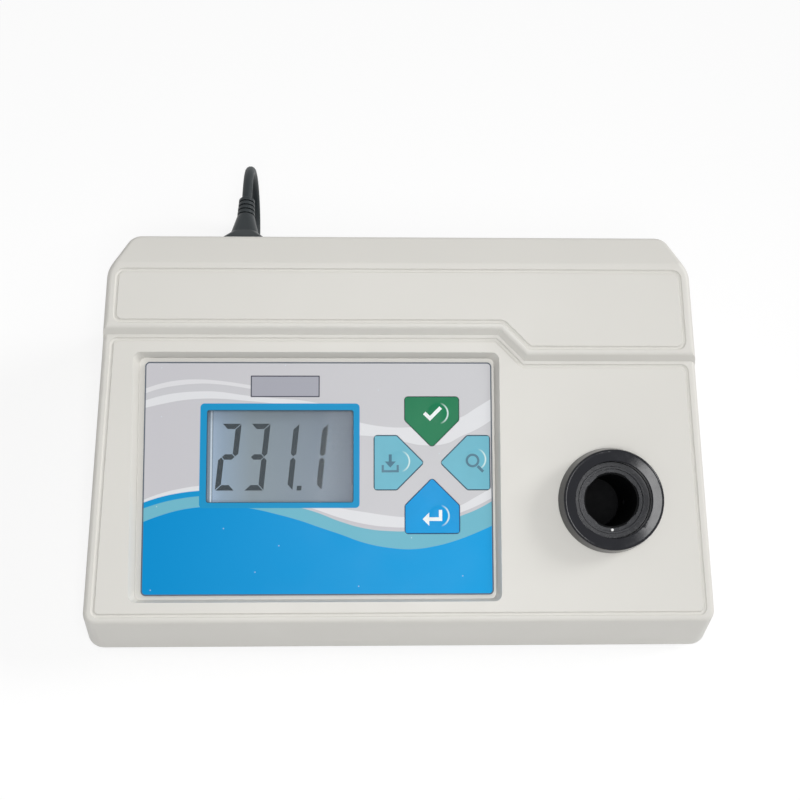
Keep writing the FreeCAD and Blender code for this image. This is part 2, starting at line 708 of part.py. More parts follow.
def rubber_feet():
    """Round tapered feet with a screw recess."""
    foot = turned([(0, 0), (FOOT_RADIUS - 1.5, 0), (FOOT_RADIUS, FOOT_HEIGHT), (0, FOOT_HEIGHT)], [0, 1.2, 0, 0])
    foot = foot.cut(rod(0, 0, -1, FOOT_HEIGHT - 2.2, SCREW_HEAD_RADIUS + 0.6))
    foot = foot.cut(rod(0, 0, -1, FOOT_HEIGHT + 1, SCREW_RADIUS + SCREW_GAP))
    return group(moved(foot, x, y, 0) for x, y in foot_spots())


def foot_screws():
    body = screw(SCREW_RADIUS, FOOT_SCREW_LENGTH, SCREW_HEAD_RADIUS, SCREW_HEAD_HEIGHT)
    body.rotate(Vector(0, 0, 0), Vector(1, 0, 0), 180)
    return group(moved(body, x, y, FOOT_HEIGHT - 2.2) for x, y in foot_spots())


# Keypad

def window_points(margin):
    return box_points(WINDOW_LEFT - margin, WINDOW_FRONT - margin, WINDOW_RIGHT + margin, WINDOW_REAR + margin)


def display_opening():
    return on_panel(plate(window_points(WINDOW_CORNER), WINDOW_CORNER, PAN_BOTTOM - 1, RECESS_FLOOR + 1))


def tail_slot():
    return on_panel(block(TAIL_X - TAIL_WIDTH / 2 - 1, TAIL_W - 1.2, TAIL_X + TAIL_WIDTH / 2 + 1, TAIL_W + 1.2,
                          PAN_BOTTOM - 1, RECESS_FLOOR + 1, 1.0))


def key_points(name, gap):
    """House-shaped outline that points at the middle of the pad, grown by a gap."""
    half, tip, end = KEY_HALF_WIDTH + gap, KEY_TIPS[name] - gap * sqrt(2), KEY_ENDS[name] + gap
    points = [(0, tip), (half, tip + half), (half, end), (-half, end), (-half, tip + half)]
    turn = radians(KEY_TURNS[name])
    return [(KEY_PAD_X + x * cos(turn) - y * sin(turn), KEY_PAD_W + x * sin(turn) + y * cos(turn))
            for x, y in points]


def emboss_spot(name):
    dx, dw = EMBOSS_SPOTS[name]
    return KEY_PAD_X + dx, KEY_PAD_W + dw


def cap(radius, height, base):
    """Shallow spherical bump."""
    sphere_radius = (radius * radius + height * height) / (2 * height)
    ball = Part.makeSphere(sphere_radius, Vector(0, 0, base + height - sphere_radius))
    return ball.common(rod(0, 0, base, base + height + 1, radius))


def key(name):
    """One key: a thin plate with an embossed round bump."""
    top = -OVERLAY_SINK + KEY_PROUD
    body = plate(key_points(name, 0.0), KEY_CORNER, top - KEY_THICKNESS, top)
    x, w = emboss_spot(name)
    return on_panel(joined([body, moved(cap(EMBOSS_RADIUS, EMBOSS_HEIGHT, top), x, w, 0)]))


def keypad_overlay():
    sheet = plate(box_points(OVERLAY_LEFT, OVERLAY_FRONT, OVERLAY_RIGHT, OVERLAY_REAR), OVERLAY_CORNER,
                  CIRCUIT_TOP, CIRCUIT_TOP + OVERLAY_THICKNESS)
    sheet = sheet.cut(plate(window_points(0.0), WINDOW_CORNER, RECESS_FLOOR, 0))
    for name in KEY_TIPS:
        sheet = sheet.cut(plate(key_points(name, KEY_GAP), KEY_CORNER + KEY_GAP, RECESS_FLOOR, 0))
    return on_panel(sheet)


def keypad_circuit():
    edge = 0.4
    sheet = plate(box_points(OVERLAY_LEFT + edge, OVERLAY_FRONT + edge, OVERLAY_RIGHT - edge, OVERLAY_REAR - edge),
                  OVERLAY_CORNER, RECESS_FLOOR, CIRCUIT_TOP)
    sheet = sheet.cut(plate(window_points(WINDOW_LEDGE + PANE_GAP), WINDOW_CORNER, RECESS_FLOOR - 1, 0))
    for name in KEY_TIPS:
        x, w = emboss_spot(name)
        sheet = sheet.cut(rod(x, w, RECESS_FLOOR - 1, 0, DOME_POCKET_RADIUS))
    return on_panel(sheet)


def key_domes():
    """Dished snap discs, one under each key."""
    outer = cap(DOME_RADIUS, DOME_HEIGHT, RECESS_FLOOR)
    inner = cap(DOME_RADIUS - DOME_THICKNESS, DOME_HEIGHT - DOME_THICKNESS, RECESS_FLOOR)
    dome = outer.cut(inner)
    return group(on_panel(dome, *emboss_spot(name)) for name in KEY_TIPS)


def keypad_tail():
    """Flat tail from the contact sheet down to its connector."""
    tail = block(TAIL_X - TAIL_WIDTH / 2, TAIL_W - TAIL_THICKNESS / 2, TAIL_X + TAIL_WIDTH / 2,
                 TAIL_W + TAIL_THICKNESS / 2, BOARD_TOP + 2.5, RECESS_FLOOR)
    return on_panel(tail)


# Display

def display_window():
    return on_panel(plate(window_points(WINDOW_LEDGE), WINDOW_CORNER, RECESS_FLOOR, CIRCUIT_TOP))


def lcd_glass():
    """Two bonded glass plates, the lower one with a contact ledge."""
    top = PAN_BOTTOM - LCD_GAP
    lower = plate(window_points(LCD_MARGIN), 0.0, top - LCD_THICKNESS, top - LCD_THICKNESS / 2)
    left, front, right, rear = (WINDOW_LEFT - LCD_MARGIN, WINDOW_FRONT - LCD_MARGIN + 2.5,
                                WINDOW_RIGHT + LCD_MARGIN, WINDOW_REAR + LCD_MARGIN)
    return on_panel(joined([lower, block(left, front, right, rear, top - LCD_THICKNESS / 2, top)]))


def backlight_plate():
    top = BOARD_TOP + BACKLIGHT_THICKNESS
    return on_panel(plate(window_points(LCD_MARGIN), 0.5, BOARD_TOP, top))


def lcd_bezel():
    """Frame that holds the glass and the backlight on the board."""
    margin = LCD_MARGIN + FIT_GAP
    frame = plate(window_points(margin + BEZEL_WALL), 1.5, BOARD_TOP, PAN_BOTTOM - 2 * FIT_GAP)
    return on_panel(frame.cut(plate(window_points(margin), 0.6, BOARD_TOP - 1, 0)))


# Main board

def main_board():
    board = block(BOARD_LEFT, BOARD_FRONT, BOARD_RIGHT, BOARD_REAR, BOARD_BOTTOM, BOARD_TOP, 2.0)
    for x, w in board_screw_spots():
        board = board.cut(rod(x, w, BOARD_BOTTOM - 1, BOARD_TOP + 1, SCREW_RADIUS + SCREW_GAP))
    return on_panel(board)


def board_screws():
    body = screw(SCREW_RADIUS, SCREW_LENGTH, SCREW_HEAD_RADIUS, SCREW_HEAD_HEIGHT)
    body.rotate(Vector(0, 0, 0), Vector(1, 0, 0), 180)
    body.translate(Vector(0, 0, BOARD_BOTTOM))
    return group(on_panel(body, x, w) for x, w in board_screw_spots())


def chip(x, w, length, width, height, legs):
    """Moulded chip with two rows of legs, hanging under the board."""
    top = BOARD_BOTTOM - 0.4
    body = block(x - length / 2, w - width / 2, x + length / 2, w + width / 2, top - height, top, 0.6)
    pitch = length / legs
    solids = [body]
    for i in range(legs):
        leg_x = x - length / 2 + (i + 0.5) * pitch
        solids.append(block(leg_x - 0.4, w - width / 2 - 1.2, leg_x + 0.4, w + width / 2 + 1.2,
                            top - 0.4, BOARD_BOTTOM))
    return joined(solids)


def board_chips():
    """Controller, memory and amplifier chips under the main board."""
    middle = (BOARD_FRONT + BOARD_REAR) / 2
    places = [(-20.0, middle, 18.0, 14.0, 2.2, 7), (-60.0, middle - 12, 12.0, 7.0, 1.8, 5),
              (-60.0, middle + 14, 12.0, 7.0, 1.8, 5), (18.0, middle + 20, 10.0, 6.0, 1.6, 4)]
    return group(on_panel(chip(*place)) for place in places)


def board_connectors():
    """Socket for the keypad tail and a header for the power wires."""
    half = TAIL_WIDTH / 2 + 2.0
    socket = block(TAIL_X - half, TAIL_W - 2.5, TAIL_X + half, TAIL_W + 2.5, BOARD_TOP, BOARD_TOP + 4.0, 0.5)
    slot = TAIL_THICKNESS / 2 + 0.1
    socket = socket.cut(block(TAIL_X - TAIL_WIDTH / 2 - 0.1, TAIL_W - slot, TAIL_X + TAIL_WIDTH / 2 + 0.1,
                              TAIL_W + slot, BOARD_TOP + 2.4, BOARD_TOP + 5.0))
    right, front = BOARD_RIGHT - HEADER_INSET_X, BOARD_FRONT + HEADER_INSET_W
    left, rear = right - HEADER_LENGTH, front + HEADER_WIDTH
    header = block(left, front, right, rear, BOARD_BOTTOM - HEADER_HEIGHT, BOARD_BOTTOM, 0.5)
    header = header.cut(block(left + HEADER_WALL, front + HEADER_WALL, right - HEADER_WALL, rear - HEADER_WALL,
                              BOARD_BOTTOM - HEADER_HEIGHT - 1, BOARD_BOTTOM - 1.5))
    return group([on_panel(socket), on_panel(header)])


# Sample well

def well_collar():
    """Black collar clamped in the face, with a shoulder that carries the sample chamber."""
    mouth_level = COLLAR_HEIGHT - COLLAR_DISH
    shoulder_radius = CHAMBER_RADIUS + 2 * FIT_GAP
    profile = [(shoulder_radius, -COLLAR_SPIGOT_DEPTH), (COLLAR_SPIGOT_RADIUS, -COLLAR_SPIGOT_DEPTH),
               (COLLAR_SPIGOT_RADIUS, 0), (COLLAR_BASE_RADIUS, 0), (COLLAR_TOP_RADIUS, COLLAR_HEIGHT),
               (COLLAR_MOUTH_RADIUS, mouth_level), (COLLAR_MOUTH_RADIUS, SHOULDER), (shoulder_radius, SHOULDER)]
    return on_panel(turned(profile, [0, 0.8, 0, 0.5, 1.3, 0.6, 0, 0]), WELL_X, WELL_W)


def collar_nut():
    """Ring nut that clamps the collar from inside, with six finger notches."""
    inner = COLLAR_SPIGOT_RADIUS + FIT_GAP
    ring = turned([(inner, -WALL - COLLAR_NUT_HEIGHT), (COLLAR_NUT_RADIUS, -WALL - COLLAR_NUT_HEIGHT),
                   (COLLAR_NUT_RADIUS, -WALL), (inner, -WALL)], [0, 0.8, 0, 0])
    for i in range(6):
        notch = rod(COLLAR_NUT_RADIUS + 1, 0, -WALL - COLLAR_NUT_HEIGHT - 1, -WALL + 1, 2.5)
        notch.rotate(Vector(0, 0, 0), Vector(0, 0, 1), 60.0 * i)
        ring = ring.cut(notch)
    return on_panel(ring, WELL_X, WELL_W)


def well_guide():
    """Guide ring on the chamber, with a raised lip and short teeth round the mouth."""
    low, high = CHAMBER_TOP, CHAMBER_TOP + GUIDE_THICKNESS
    ledge, lip = high - GUIDE_LEDGE_DROP, high + GUIDE_LIP_HEIGHT
    outer, lip_outer = COLLAR_MOUTH_RADIUS - FIT_GAP, GUIDE_LIP_RADIUS + GUIDE_LIP_WIDTH
    draft = 0.2
    profile = [(GUIDE_MOUTH_RADIUS, low), (outer, low), (outer, high), (lip_outer + draft, high), (lip_outer, lip),
               (GUIDE_LIP_RADIUS, lip), (GUIDE_LIP_RADIUS - draft, ledge), (GUIDE_MOUTH_RADIUS, ledge)]
    ring = turned(profile)
    step = 360.0 / GUIDE_TEETH
    for i in range(GUIDE_TEETH):
        tooth = block(GUIDE_TOOTH_RADIUS, -GUIDE_TOOTH_WIDTH / 2, GUIDE_LIP_RADIUS - 1, GUIDE_TOOTH_WIDTH / 2,
                      low, ledge)
        tooth = tooth.cut(rod(0, 0, low, ledge, GUIDE_TOOTH_RADIUS))
        tooth.rotate(Vector(0, 0, 0), Vector(0, 0, 1), step * (i + 0.5))
        ring = ring.fuse(tooth)
    ring = ring.cut(rod(0, -MARK_DISTANCE, ledge - MARK_DEPTH, lip, MARK_RADIUS))
    return on_panel(ring.removeSplitter(), WELL_X, WELL_W)


def index_mark():
    """White dot that shows how a bottle is turned."""
    ledge = CHAMBER_TOP + GUIDE_THICKNESS - GUIDE_LEDGE_DROP
    return on_panel(rod(0, -MARK_DISTANCE, ledge - MARK_DEPTH, ledge + 0.1, MARK_RADIUS), WELL_X, WELL_W)


def along_x(shape):
    """Turn a shape drawn along Z so that it lies along X."""
    copy = shape.copy()
    copy.rotate(Vector(0, 0, 0), Vector(0, 1, 0), 90)
    return copy


def sample_chamber():
    """Tube with a floor and a flange, crossed by the light beam."""
    bottom = CHAMBER_TOP - CHAMBER_DEPTH - CHAMBER_FLOOR
    flange_radius = COLLAR_MOUTH_RADIUS - FIT_GAP
    profile = [(0, bottom), (CHAMBER_RADIUS, bottom), (CHAMBER_RADIUS, SHOULDER), (flange_radius, SHOULDER),
               (flange_radius, CHAMBER_TOP), (BOTTLE_RADIUS, CHAMBER_TOP), (BOTTLE_RADIUS, bottom + CHAMBER_FLOOR),
               (0, bottom + CHAMBER_FLOOR)]
    tube = turned(profile, [0, 1.0, 0, 0, 0, 0, 0, 0])
    beam = moved(along_x(rod(0, 0, -CHAMBER_RADIUS - 1, CHAMBER_RADIUS + 1, BEAM_RADIUS)), 0, 0, BEAM_DEPTH)
    return on_panel(tube.cut(beam), WELL_X, WELL_W)


def optical_block():
    """Block round the chamber, bored for the lamp on one side and the detector on the other."""
    half_x, half_w = BLOCK_WIDTH / 2, BLOCK_DEPTH / 2
    body = block(-half_x, -half_w, half_x, half_w, BLOCK_BOTTOM, BLOCK_TOP, 3.0)
    flange = block(-BLOCK_FLANGE_WIDTH / 2, -half_w, BLOCK_FLANGE_WIDTH / 2, half_w,
                   BLOCK_TOP - BLOCK_FLANGE_THICKNESS, BLOCK_TOP, 3.0)
    body = joined([body, flange])
    body = body.cut(rod(0, 0, BLOCK_BOTTOM - 1, BLOCK_TOP + 1, CHAMBER_RADIUS + FIT_GAP))
    bore = moved(along_x(rod(0, 0, -half_x - 1, half_x + 1, LAMP_BORE_RADIUS)), 0, 0, BEAM_DEPTH)
    body = body.cut(bore)
    for i in (-1, 1):
        for j in (-1, 1):
            body = body.cut(rod(i * BLOCK_SCREW_X, j * BLOCK_SCREW_W, BLOCK_BOTTOM, 0, SCREW_RADIUS + SCREW_GAP))
    return on_panel(body, WELL_X, WELL_W)


def block_screws():
    body = screw(SCREW_RADIUS, BLOCK_FLANGE_THICKNESS + 5.0, SCREW_HEAD_RADIUS, SCREW_HEAD_HEIGHT)
    body.rotate(Vector(0, 0, 0), Vector(1, 0, 0), 180)
    body.translate(Vector(0, 0, BLOCK_TOP - BLOCK_FLANGE_THICKNESS))
    return group(on_panel(body, x, w) for x, w in block_screw_spots())


def in_beam(shape):
    """Place a shape drawn along Z on the light beam."""
    return on_panel(moved(along_x(shape), 0, 0, BEAM_DEPTH), WELL_X, WELL_W)


def led_lamp():
    """Round-nosed lamp with its flange, in the left bore."""
    end = -CHAMBER_RADIUS - 3.4
    body = turned([(0, end - 8), (LAMP_BORE_RADIUS - FIT_GAP, end - 8), (LAMP_BORE_RADIUS - FIT_GAP, end - 6.5),
                   (LAMP_RADIUS, end - 6.5), (LAMP_RADIUS, end), (0, end)], [0, 0, 0, 0, 2.2, 0])
    return in_beam(body)


def collimating_lens():
    """Plano-convex lens between the lamp and the chamber."""
    radius, start = LAMP_BORE_RADIUS - FIT_GAP, -CHAMBER_RADIUS - 2.6
    lens = joined([rod(0, 0, start, start + 1.0, radius), cap(radius, 1.1, start + 1.0)])
    return in_beam(lens)


def colour_filter():
    start = CHAMBER_RADIUS + 1.0
    return in_beam(rod(0, 0, start, start + 1.5, LAMP_BORE_RADIUS - FIT_GAP))


def photodiode():
    """Metal can with a glass window, on the detector board."""
    face, back = CHAMBER_RADIUS + 4.5, BLOCK_WIDTH / 2 + 0.5
    can, rim = LAMP_BORE_RADIUS - 0.8, LAMP_BORE_RADIUS - 0.3
    body = turned([(0, face), (can, face), (can, back - 1), (rim, back - 1), (rim, back), (0, back)],
                  [0, 0.5, 0, 0, 0, 0])
    return in_beam(body)


def detector_board():
    back = BLOCK_WIDTH / 2 + 0.5
    board = block(-9.0, -14.0, 9.0, 14.0, back, back + BOARD_THICKNESS, 1.0)
    return in_beam(board)


# Rear wall fittings

def socket_points(width, height):
    """Mains socket outline with its two cut corners at the top."""
    half_x, half_y, cut = width / 2, height / 2, height * 0.28
    return [(-half_x, -half_y), (half_x, -half_y), (half_x, half_y - cut), (half_x - cut, half_y),
            (cut - half_x, half_y), (-half_x, half_y - cut)]


def pin_spots():
    return [(-PIN_PITCH, -2.0), (0.0, 2.0), (PIN_PITCH, -2.0)]


def power_inlet():
    """Mains inlet with a screw flange and an open socket."""
    flange = block(-INLET_WIDTH / 2, -INLET_HEIGHT / 2, INLET_WIDTH / 2, INLET_HEIGHT / 2, 0, INLET_FLANGE, 6.0)
    half_x, half_y = INLET_BODY_WIDTH / 2, INLET_BODY_HEIGHT / 2
    body = joined([flange, block(-half_x, -half_y, half_x, half_y, -INLET_BODY_DEPTH, 0, 2.0)])
    floor = INLET_FLANGE - SOCKET_DEPTH
    body = body.cut(plate(socket_points(SOCKET_WIDTH, SOCKET_HEIGHT), 1.0, floor, INLET_FLANGE + 1))
    for x, y in pin_spots():
        body = body.cut(block(x - PIN_THICKNESS / 2, y - PIN_WIDTH / 2, x + PIN_THICKNESS / 2, y + PIN_WIDTH / 2,
                              -INLET_BODY_DEPTH - 1, floor + 1))
    for side in (-1, 1):
        body = body.cut(rod(side * INLET_SCREW_X, 0, -1, INLET_FLANGE + 1, SCREW_RADIUS + SCREW_GAP))
    return on_rear(body, LEAD_X, LEAD_HEIGHT)


def inlet_pins():
    """Three flat contact pins with solder tags behind the inlet."""
    end = INLET_FLANGE - SOCKET_DEPTH + PIN_LENGTH - 2.0
    pins = [block(x - PIN_THICKNESS / 2, y - PIN_WIDTH / 2, x + PIN_THICKNESS / 2, y + PIN_WIDTH / 2,
                  -INLET_BODY_DEPTH - 6.0, end) for x, y in pin_spots()]
    return group(on_rear(pin, LEAD_X, LEAD_HEIGHT) for pin in pins)


def inlet_screws():
    body = screw(SCREW_RADIUS, 8.0, SCREW_HEAD_RADIUS, SCREW_HEAD_HEIGHT)
    body.translate(Vector(0, 0, INLET_FLANGE))
    return group(on_rear(body, LEAD_X + side * INLET_SCREW_X, LEAD_HEIGHT) for side in (-1, 1))


def rocker_well():
    """Room in the switch for the rocker through its swing."""
    half_x, half_y = ROCKER_WIDTH / 2 + MOVING_GAP, ROCKER_HEIGHT / 2 + 2 * MOVING_GAP
    return block(-half_x, -half_y, half_x, half_y, -6.0, SWITCH_BEZEL + 1)


def switch_body():
    """Rocker switch housing with its bezel, hinge holes and three tags."""
    half_x, half_y = SWITCH_WIDTH / 2, SWITCH_HEIGHT / 2
    bezel = block(-half_x, -half_y, half_x, half_y, 0, SWITCH_BEZEL, 1.5)
    inset = 1 + FIT_GAP
    inner = block(inset - half_x, inset - half_y, half_x - inset, half_y - inset, -SWITCH_DEPTH, 0, 0.5)
    body = joined([bezel, inner]).cut(rocker_well())
    pin_hole = along_x(rod(0, 0, -half_x - 1, half_x + 1, ROCKER_PIN_RADIUS + RUNNING_GAP))
    depth = ROCKER_WIDTH / 2 + 1.2
    pin_hole = pin_hole.common(block(-depth, -half_y, depth, half_y, -6, 6))
    body = body.cut(pin_hole)
    for y in (-6.0, 0.0, 6.0):
        tag = block(-0.4, y - 2.0, 0.4, y + 2.0, -SWITCH_DEPTH - 7.0, -SWITCH_DEPTH)
        body = body.fuse(tag)
    return on_rear(body, SWITCH_X, LEAD_HEIGHT)


def switch_rocker():
    """Rocker with two faces at an angle, pivoting on two short pins."""
    half_y, crest = ROCKER_HEIGHT / 2, 3.4
    drop = half_y * tan(radians(ROCKER_TILT))
    depth = 2.6
    points = [(-half_y * 0.75, -depth), (half_y * 0.75, -depth), (half_y, crest - drop - 0.4), (half_y, crest + 0.2),
              (0, crest - drop * 0.6), (-half_y, crest + 0.2), (-half_y, crest - drop - 0.4)]
    profile = Part.Face(outline(points, [0.8, 0.8, 0.6, 0.6, 6.0, 0.6, 0.6]))
    body = profile.extrude(Vector(0, 0, ROCKER_WIDTH))
    body.translate(Vector(0, 0, -ROCKER_WIDTH / 2))
    body.rotate(Vector(0, 0, 0), Vector(1, 1, 1), 120)
    reach = ROCKER_WIDTH / 2 + 1.0
    body = joined([body, along_x(rod(0, 0, -reach, reach, ROCKER_PIN_RADIUS))])
    body.rotate(Vector(0, 0, 0), Vector(1, 0, 0), ROCKER_TILT)
    return on_rear(body, SWITCH_X, LEAD_HEIGHT)


def fuse_holder():
    """Round fuse holder with a flange outside and a ring nut inside."""
    bore = FUSE_CAP_RADIUS - 1.6
    body = turned([(0, -FUSE_BODY_DEPTH), (FUSE_BODY_RADIUS, -FUSE_BODY_DEPTH), (FUSE_BODY_RADIUS, 0),
                   (FUSE_FLANGE_RADIUS, 0), (FUSE_FLANGE_RADIUS, FUSE_FLANGE), (0, FUSE_FLANGE)],
                  [0, 1.0, 0, 0, 0.8, 0])
    body = body.cut(rod(0, 0, 1.5 - FUSE_BODY_DEPTH, FUSE_FLANGE + 1, bore))
    nut = turned([(FUSE_BODY_RADIUS, -WALL - 4), (FUSE_BODY_RADIUS + 2.5, -WALL - 4),
                  (FUSE_BODY_RADIUS + 2.5, -WALL), (FUSE_BODY_RADIUS, -WALL)])
    return on_rear(joined([body, nut]), FUSE_X, LEAD_HEIGHT)


def fuse_cap():
    """Knurled bayonet cap with a hollow stem that grips the fuse."""
    low = FUSE_FLANGE + MOVING_GAP
    high = FUSE_FLANGE + FUSE_CAP_REACH
    head = turned([(0, low), (FUSE_CAP_RADIUS, low), (FUSE_CAP_RADIUS - 0.4, high), (0, high)], [0, 0, 0.9, 0])
    for i in range(16):
        flute = rod(FUSE_CAP_RADIUS + 0.3, 0, low + 1.5, high + 1, 0.7)
        flute.rotate(Vector(0, 0, 0), Vector(0, 0, 1), 22.5 * i)
        head = head.cut(flute)
    slot = block(-FUSE_CAP_RADIUS + 1.5, -0.6, FUSE_CAP_RADIUS - 1.5, 0.6, high - 1.2, high + 1)
    stem_radius = FUSE_CAP_RADIUS - 1.6 - MOVING_GAP
    stem = rod(0, 0, low - 9.0, low, stem_radius).cut(rod(0, 0, low - 10.0, low - 2.0, FUSE_LINK_RADIUS))
    return on_rear(joined([head.cut(slot), stem]), FUSE_X, LEAD_HEIGHT)


def fuse_link():
    """Glass fuse with metal end caps, gripped by the cap's stem."""
    top = FUSE_FLANGE + MOVING_GAP - 2.0
    bottom = top - FUSE_LINK_LENGTH
    glass = rod(0, 0, bottom + 5.0, top - 5.0, FUSE_LINK_RADIUS - 0.2)
    ends = [rod(0, 0, top - 5.0, top, FUSE_LINK_RADIUS), rod(0, 0, bottom, bottom + 5.0, FUSE_LINK_RADIUS)]
    return on_rear(joined([glass] + ends), FUSE_X, LEAD_HEIGHT)


# Power supply

def transformer_core():
    """Laminated core: two windows round a middle leg, on a mounting strap with two ears."""
    low = TRAY_TOP + STANDOFF_HEIGHT
    half_x, half_y = CORE_WIDTH / 2, CORE_DEPTH / 2
    height = CORE_DEPTH
    body = block(-half_x, -CORE_STACK / 2, half_x, CORE_STACK / 2, low + 1.2, low + 1.2 + height, 0)
    window_low, window_high = low + 1.2 + CORE_LEG, low + 1.2 + height - CORE_LEG
    window = (CORE_WIDTH - 4 * CORE_LEG) / 2
    for side in (-1, 1):
        centre = side * (CORE_LEG + window / 2)
        body = body.cut(block(centre - window / 2, -half_y, centre + window / 2, half_y, window_low, window_high))
    strap = block(-half_x - 10, -CORE_STACK / 2, half_x + 10, CORE_STACK / 2, low, low + 1.2, 2.0)
    for side in (-1, 1):
        strap = strap.cut(rod(side * (half_x + 6.0), 0, low - 1, low + 3, SCREW_RADIUS + SCREW_GAP))
    return moved(joined([body, strap]), CORE_X, CORE_Y, 0)


def transformer_coil():
    """Winding on its bobbin round the middle leg."""
    low = TRAY_TOP + STANDOFF_HEIGHT + 1.2 + CORE_LEG + COIL_GAP
    high = TRAY_TOP + STANDOFF_HEIGHT + 1.2 + CORE_DEPTH - CORE_LEG - COIL_GAP
    window = (CORE_WIDTH - 4 * CORE_LEG) / 2
    half_x = CORE_LEG + window - COIL_GAP
    half_y = CORE_STACK / 2 + COIL_BULGE
    leg_x, leg_y = CORE_LEG + COIL_GAP, CORE_STACK / 2 + COIL_GAP
    coil = block(-half_x, -half_y, half_x, half_y, low + 1.5, high - 1.5, 5.0)
    flanges = [block(-half_x, -half_y - 1, half_x, half_y + 1, z, z + 1.5, 1.0) for z in (low, high - 1.5)]
    body = joined([coil] + flanges).cut(block(-leg_x, -leg_y, leg_x, leg_y, low - 1, high + 1))
    return moved(body, CORE_X, CORE_Y, 0)


def transformer_screws():
    body = screw(SCREW_RADIUS, STANDOFF_HEIGHT - 1, SCREW_HEAD_RADIUS, SCREW_HEAD_HEIGHT)
    return group(moved(body, x, y, TRAY_TOP + STANDOFF_HEIGHT + 1.2) for x, y in core_screw_spots())


def power_board():
    low = TRAY_TOP + STANDOFF_HEIGHT
    board = block(SUPPLY_X - SUPPLY_LENGTH / 2, SUPPLY_Y - SUPPLY_DEPTH / 2, SUPPLY_X + SUPPLY_LENGTH / 2,
                  SUPPLY_Y + SUPPLY_DEPTH / 2, low, low + BOARD_THICKNESS, 2.0)
    for x, y in supply_spots():
        board = board.cut(rod(x, y, low - 1, low + 3, SCREW_RADIUS + SCREW_GAP))
    return board


def power_board_screws():
    body = screw(SCREW_RADIUS, STANDOFF_HEIGHT, SCREW_HEAD_RADIUS, SCREW_HEAD_HEIGHT)
    top = TRAY_TOP + STANDOFF_HEIGHT + BOARD_THICKNESS
    return group(moved(body, x, y, top) for x, y in supply_spots())


def power_board_parts():
    """Capacitors, a regulator on its heat sink, a rectifier and a terminal block."""
    top = TRAY_TOP + STANDOFF_HEIGHT + BOARD_THICKNESS
    def can(x, y, radius, height):
        return moved(turned([(0, 0), (radius, 0), (radius, height), (0, height)], [0, 0, 0.8, 0]), x, y, top)
    sink = block(-13.0, -2.0, 13.0, 0.0, 0, 24.0)
    fins = [block(-13.0 + i * 6.0, -10.0, -11.5 + i * 6.0, -2.0, 0, 24.0) for i in range(5)]
    heat_sink = moved(joined([sink] + fins), SUPPLY_X + 14.0, SUPPLY_Y + 18.0, top)
    regulator = block(-5.0, 0.0, 5.0, 4.5, 6.0, 21.0)
    legs = [block(x - 0.5, 1.5, x + 0.5, 2.5, 0, 6.0) for x in (-2.5, 0.0, 2.5)]
    regulator = moved(joined([regulator] + legs), SUPPLY_X + 14.0, SUPPLY_Y + 18.0, top)
    terminal = block(-12.0, -5.0, 12.0, 5.0, 0, 10.0, 0.6)
    terminal = moved(terminal, SUPPLY_X - 30.0, SUPPLY_Y + 12.0, top)
    bridge = moved(block(-7.5, -2.5, 7.5, 2.5, 0, 9.0, 0.5), SUPPLY_X - 12.0, SUPPLY_Y - 12.0, top)
    cans = [can(SUPPLY_X + CAN_RADIUS + i * CAN_PITCH, SUPPLY_Y - 10.0, CAN_RADIUS, CAN_HEIGHT) for i in range(2)]
    return group(cans + [heat_sink, regulator, terminal, bridge])


# Power lead

def lead_connector():
    """Connector in the inlet: nose, hood, tapered neck and a ribbed strain relief."""
    nose_start = INLET_FLANGE - SOCKET_DEPTH + 0.5
    nose = plate(socket_points(SOCKET_WIDTH - 2 * MOVING_GAP, SOCKET_HEIGHT - 2 * MOVING_GAP), 1.0,
                 nose_start, INLET_FLANGE)
    gap = 0.3
    for x, y in pin_spots():
        half_x, half_y = PIN_THICKNESS / 2 + gap, PIN_WIDTH / 2 + gap
        nose = nose.cut(block(x - half_x, y - half_y, x + half_x, y + half_y, nose_start - 1, INLET_FLANGE))
    def section(width, height, radius, level):
        return outline(box_points(-width / 2, -height / 2, width / 2, height / 2), radius, level)
    start = INLET_FLANGE
    shoulder = start + CONNECTOR_SHOULDER
    neck = start + CONNECTOR_NECK
    relief = start + CONNECTOR_REACH - RELIEF_LENGTH
    hood = loft([section(CONNECTOR_WIDTH, CONNECTOR_HEIGHT, 3.0, start),
                 section(CONNECTOR_WIDTH - 0.6, CONNECTOR_HEIGHT - 0.8, 3.0, shoulder),
                 section(CONNECTOR_NECK_WIDTH, CONNECTOR_NECK_WIDTH - 3.0, 4.5, neck),
                 section(2 * RELIEF_RADIUS, 2 * RELIEF_RADIUS, RELIEF_RADIUS * 0.98, relief)])
    pitch = RELIEF_LENGTH / RELIEF_RIBS
    core = CORD_DIAMETER / 2 + 0.9
    ribs = [rod(0, 0, relief, relief + RELIEF_LENGTH - 0.5, core)]
    for i in range(RELIEF_RIBS):
        low = relief + i * pitch + 0.9
        ribs.append(turned([(0, low), (RELIEF_RADIUS - 0.15 * i, low), (RELIEF_RADIUS - 0.15 * i, low + pitch - 0.9),
                            (0, low + pitch - 0.9)], [0, 0.4, 0.4, 0]))
    return on_rear(joined([nose, hood] + ribs), LEAD_X, LEAD_HEIGHT)


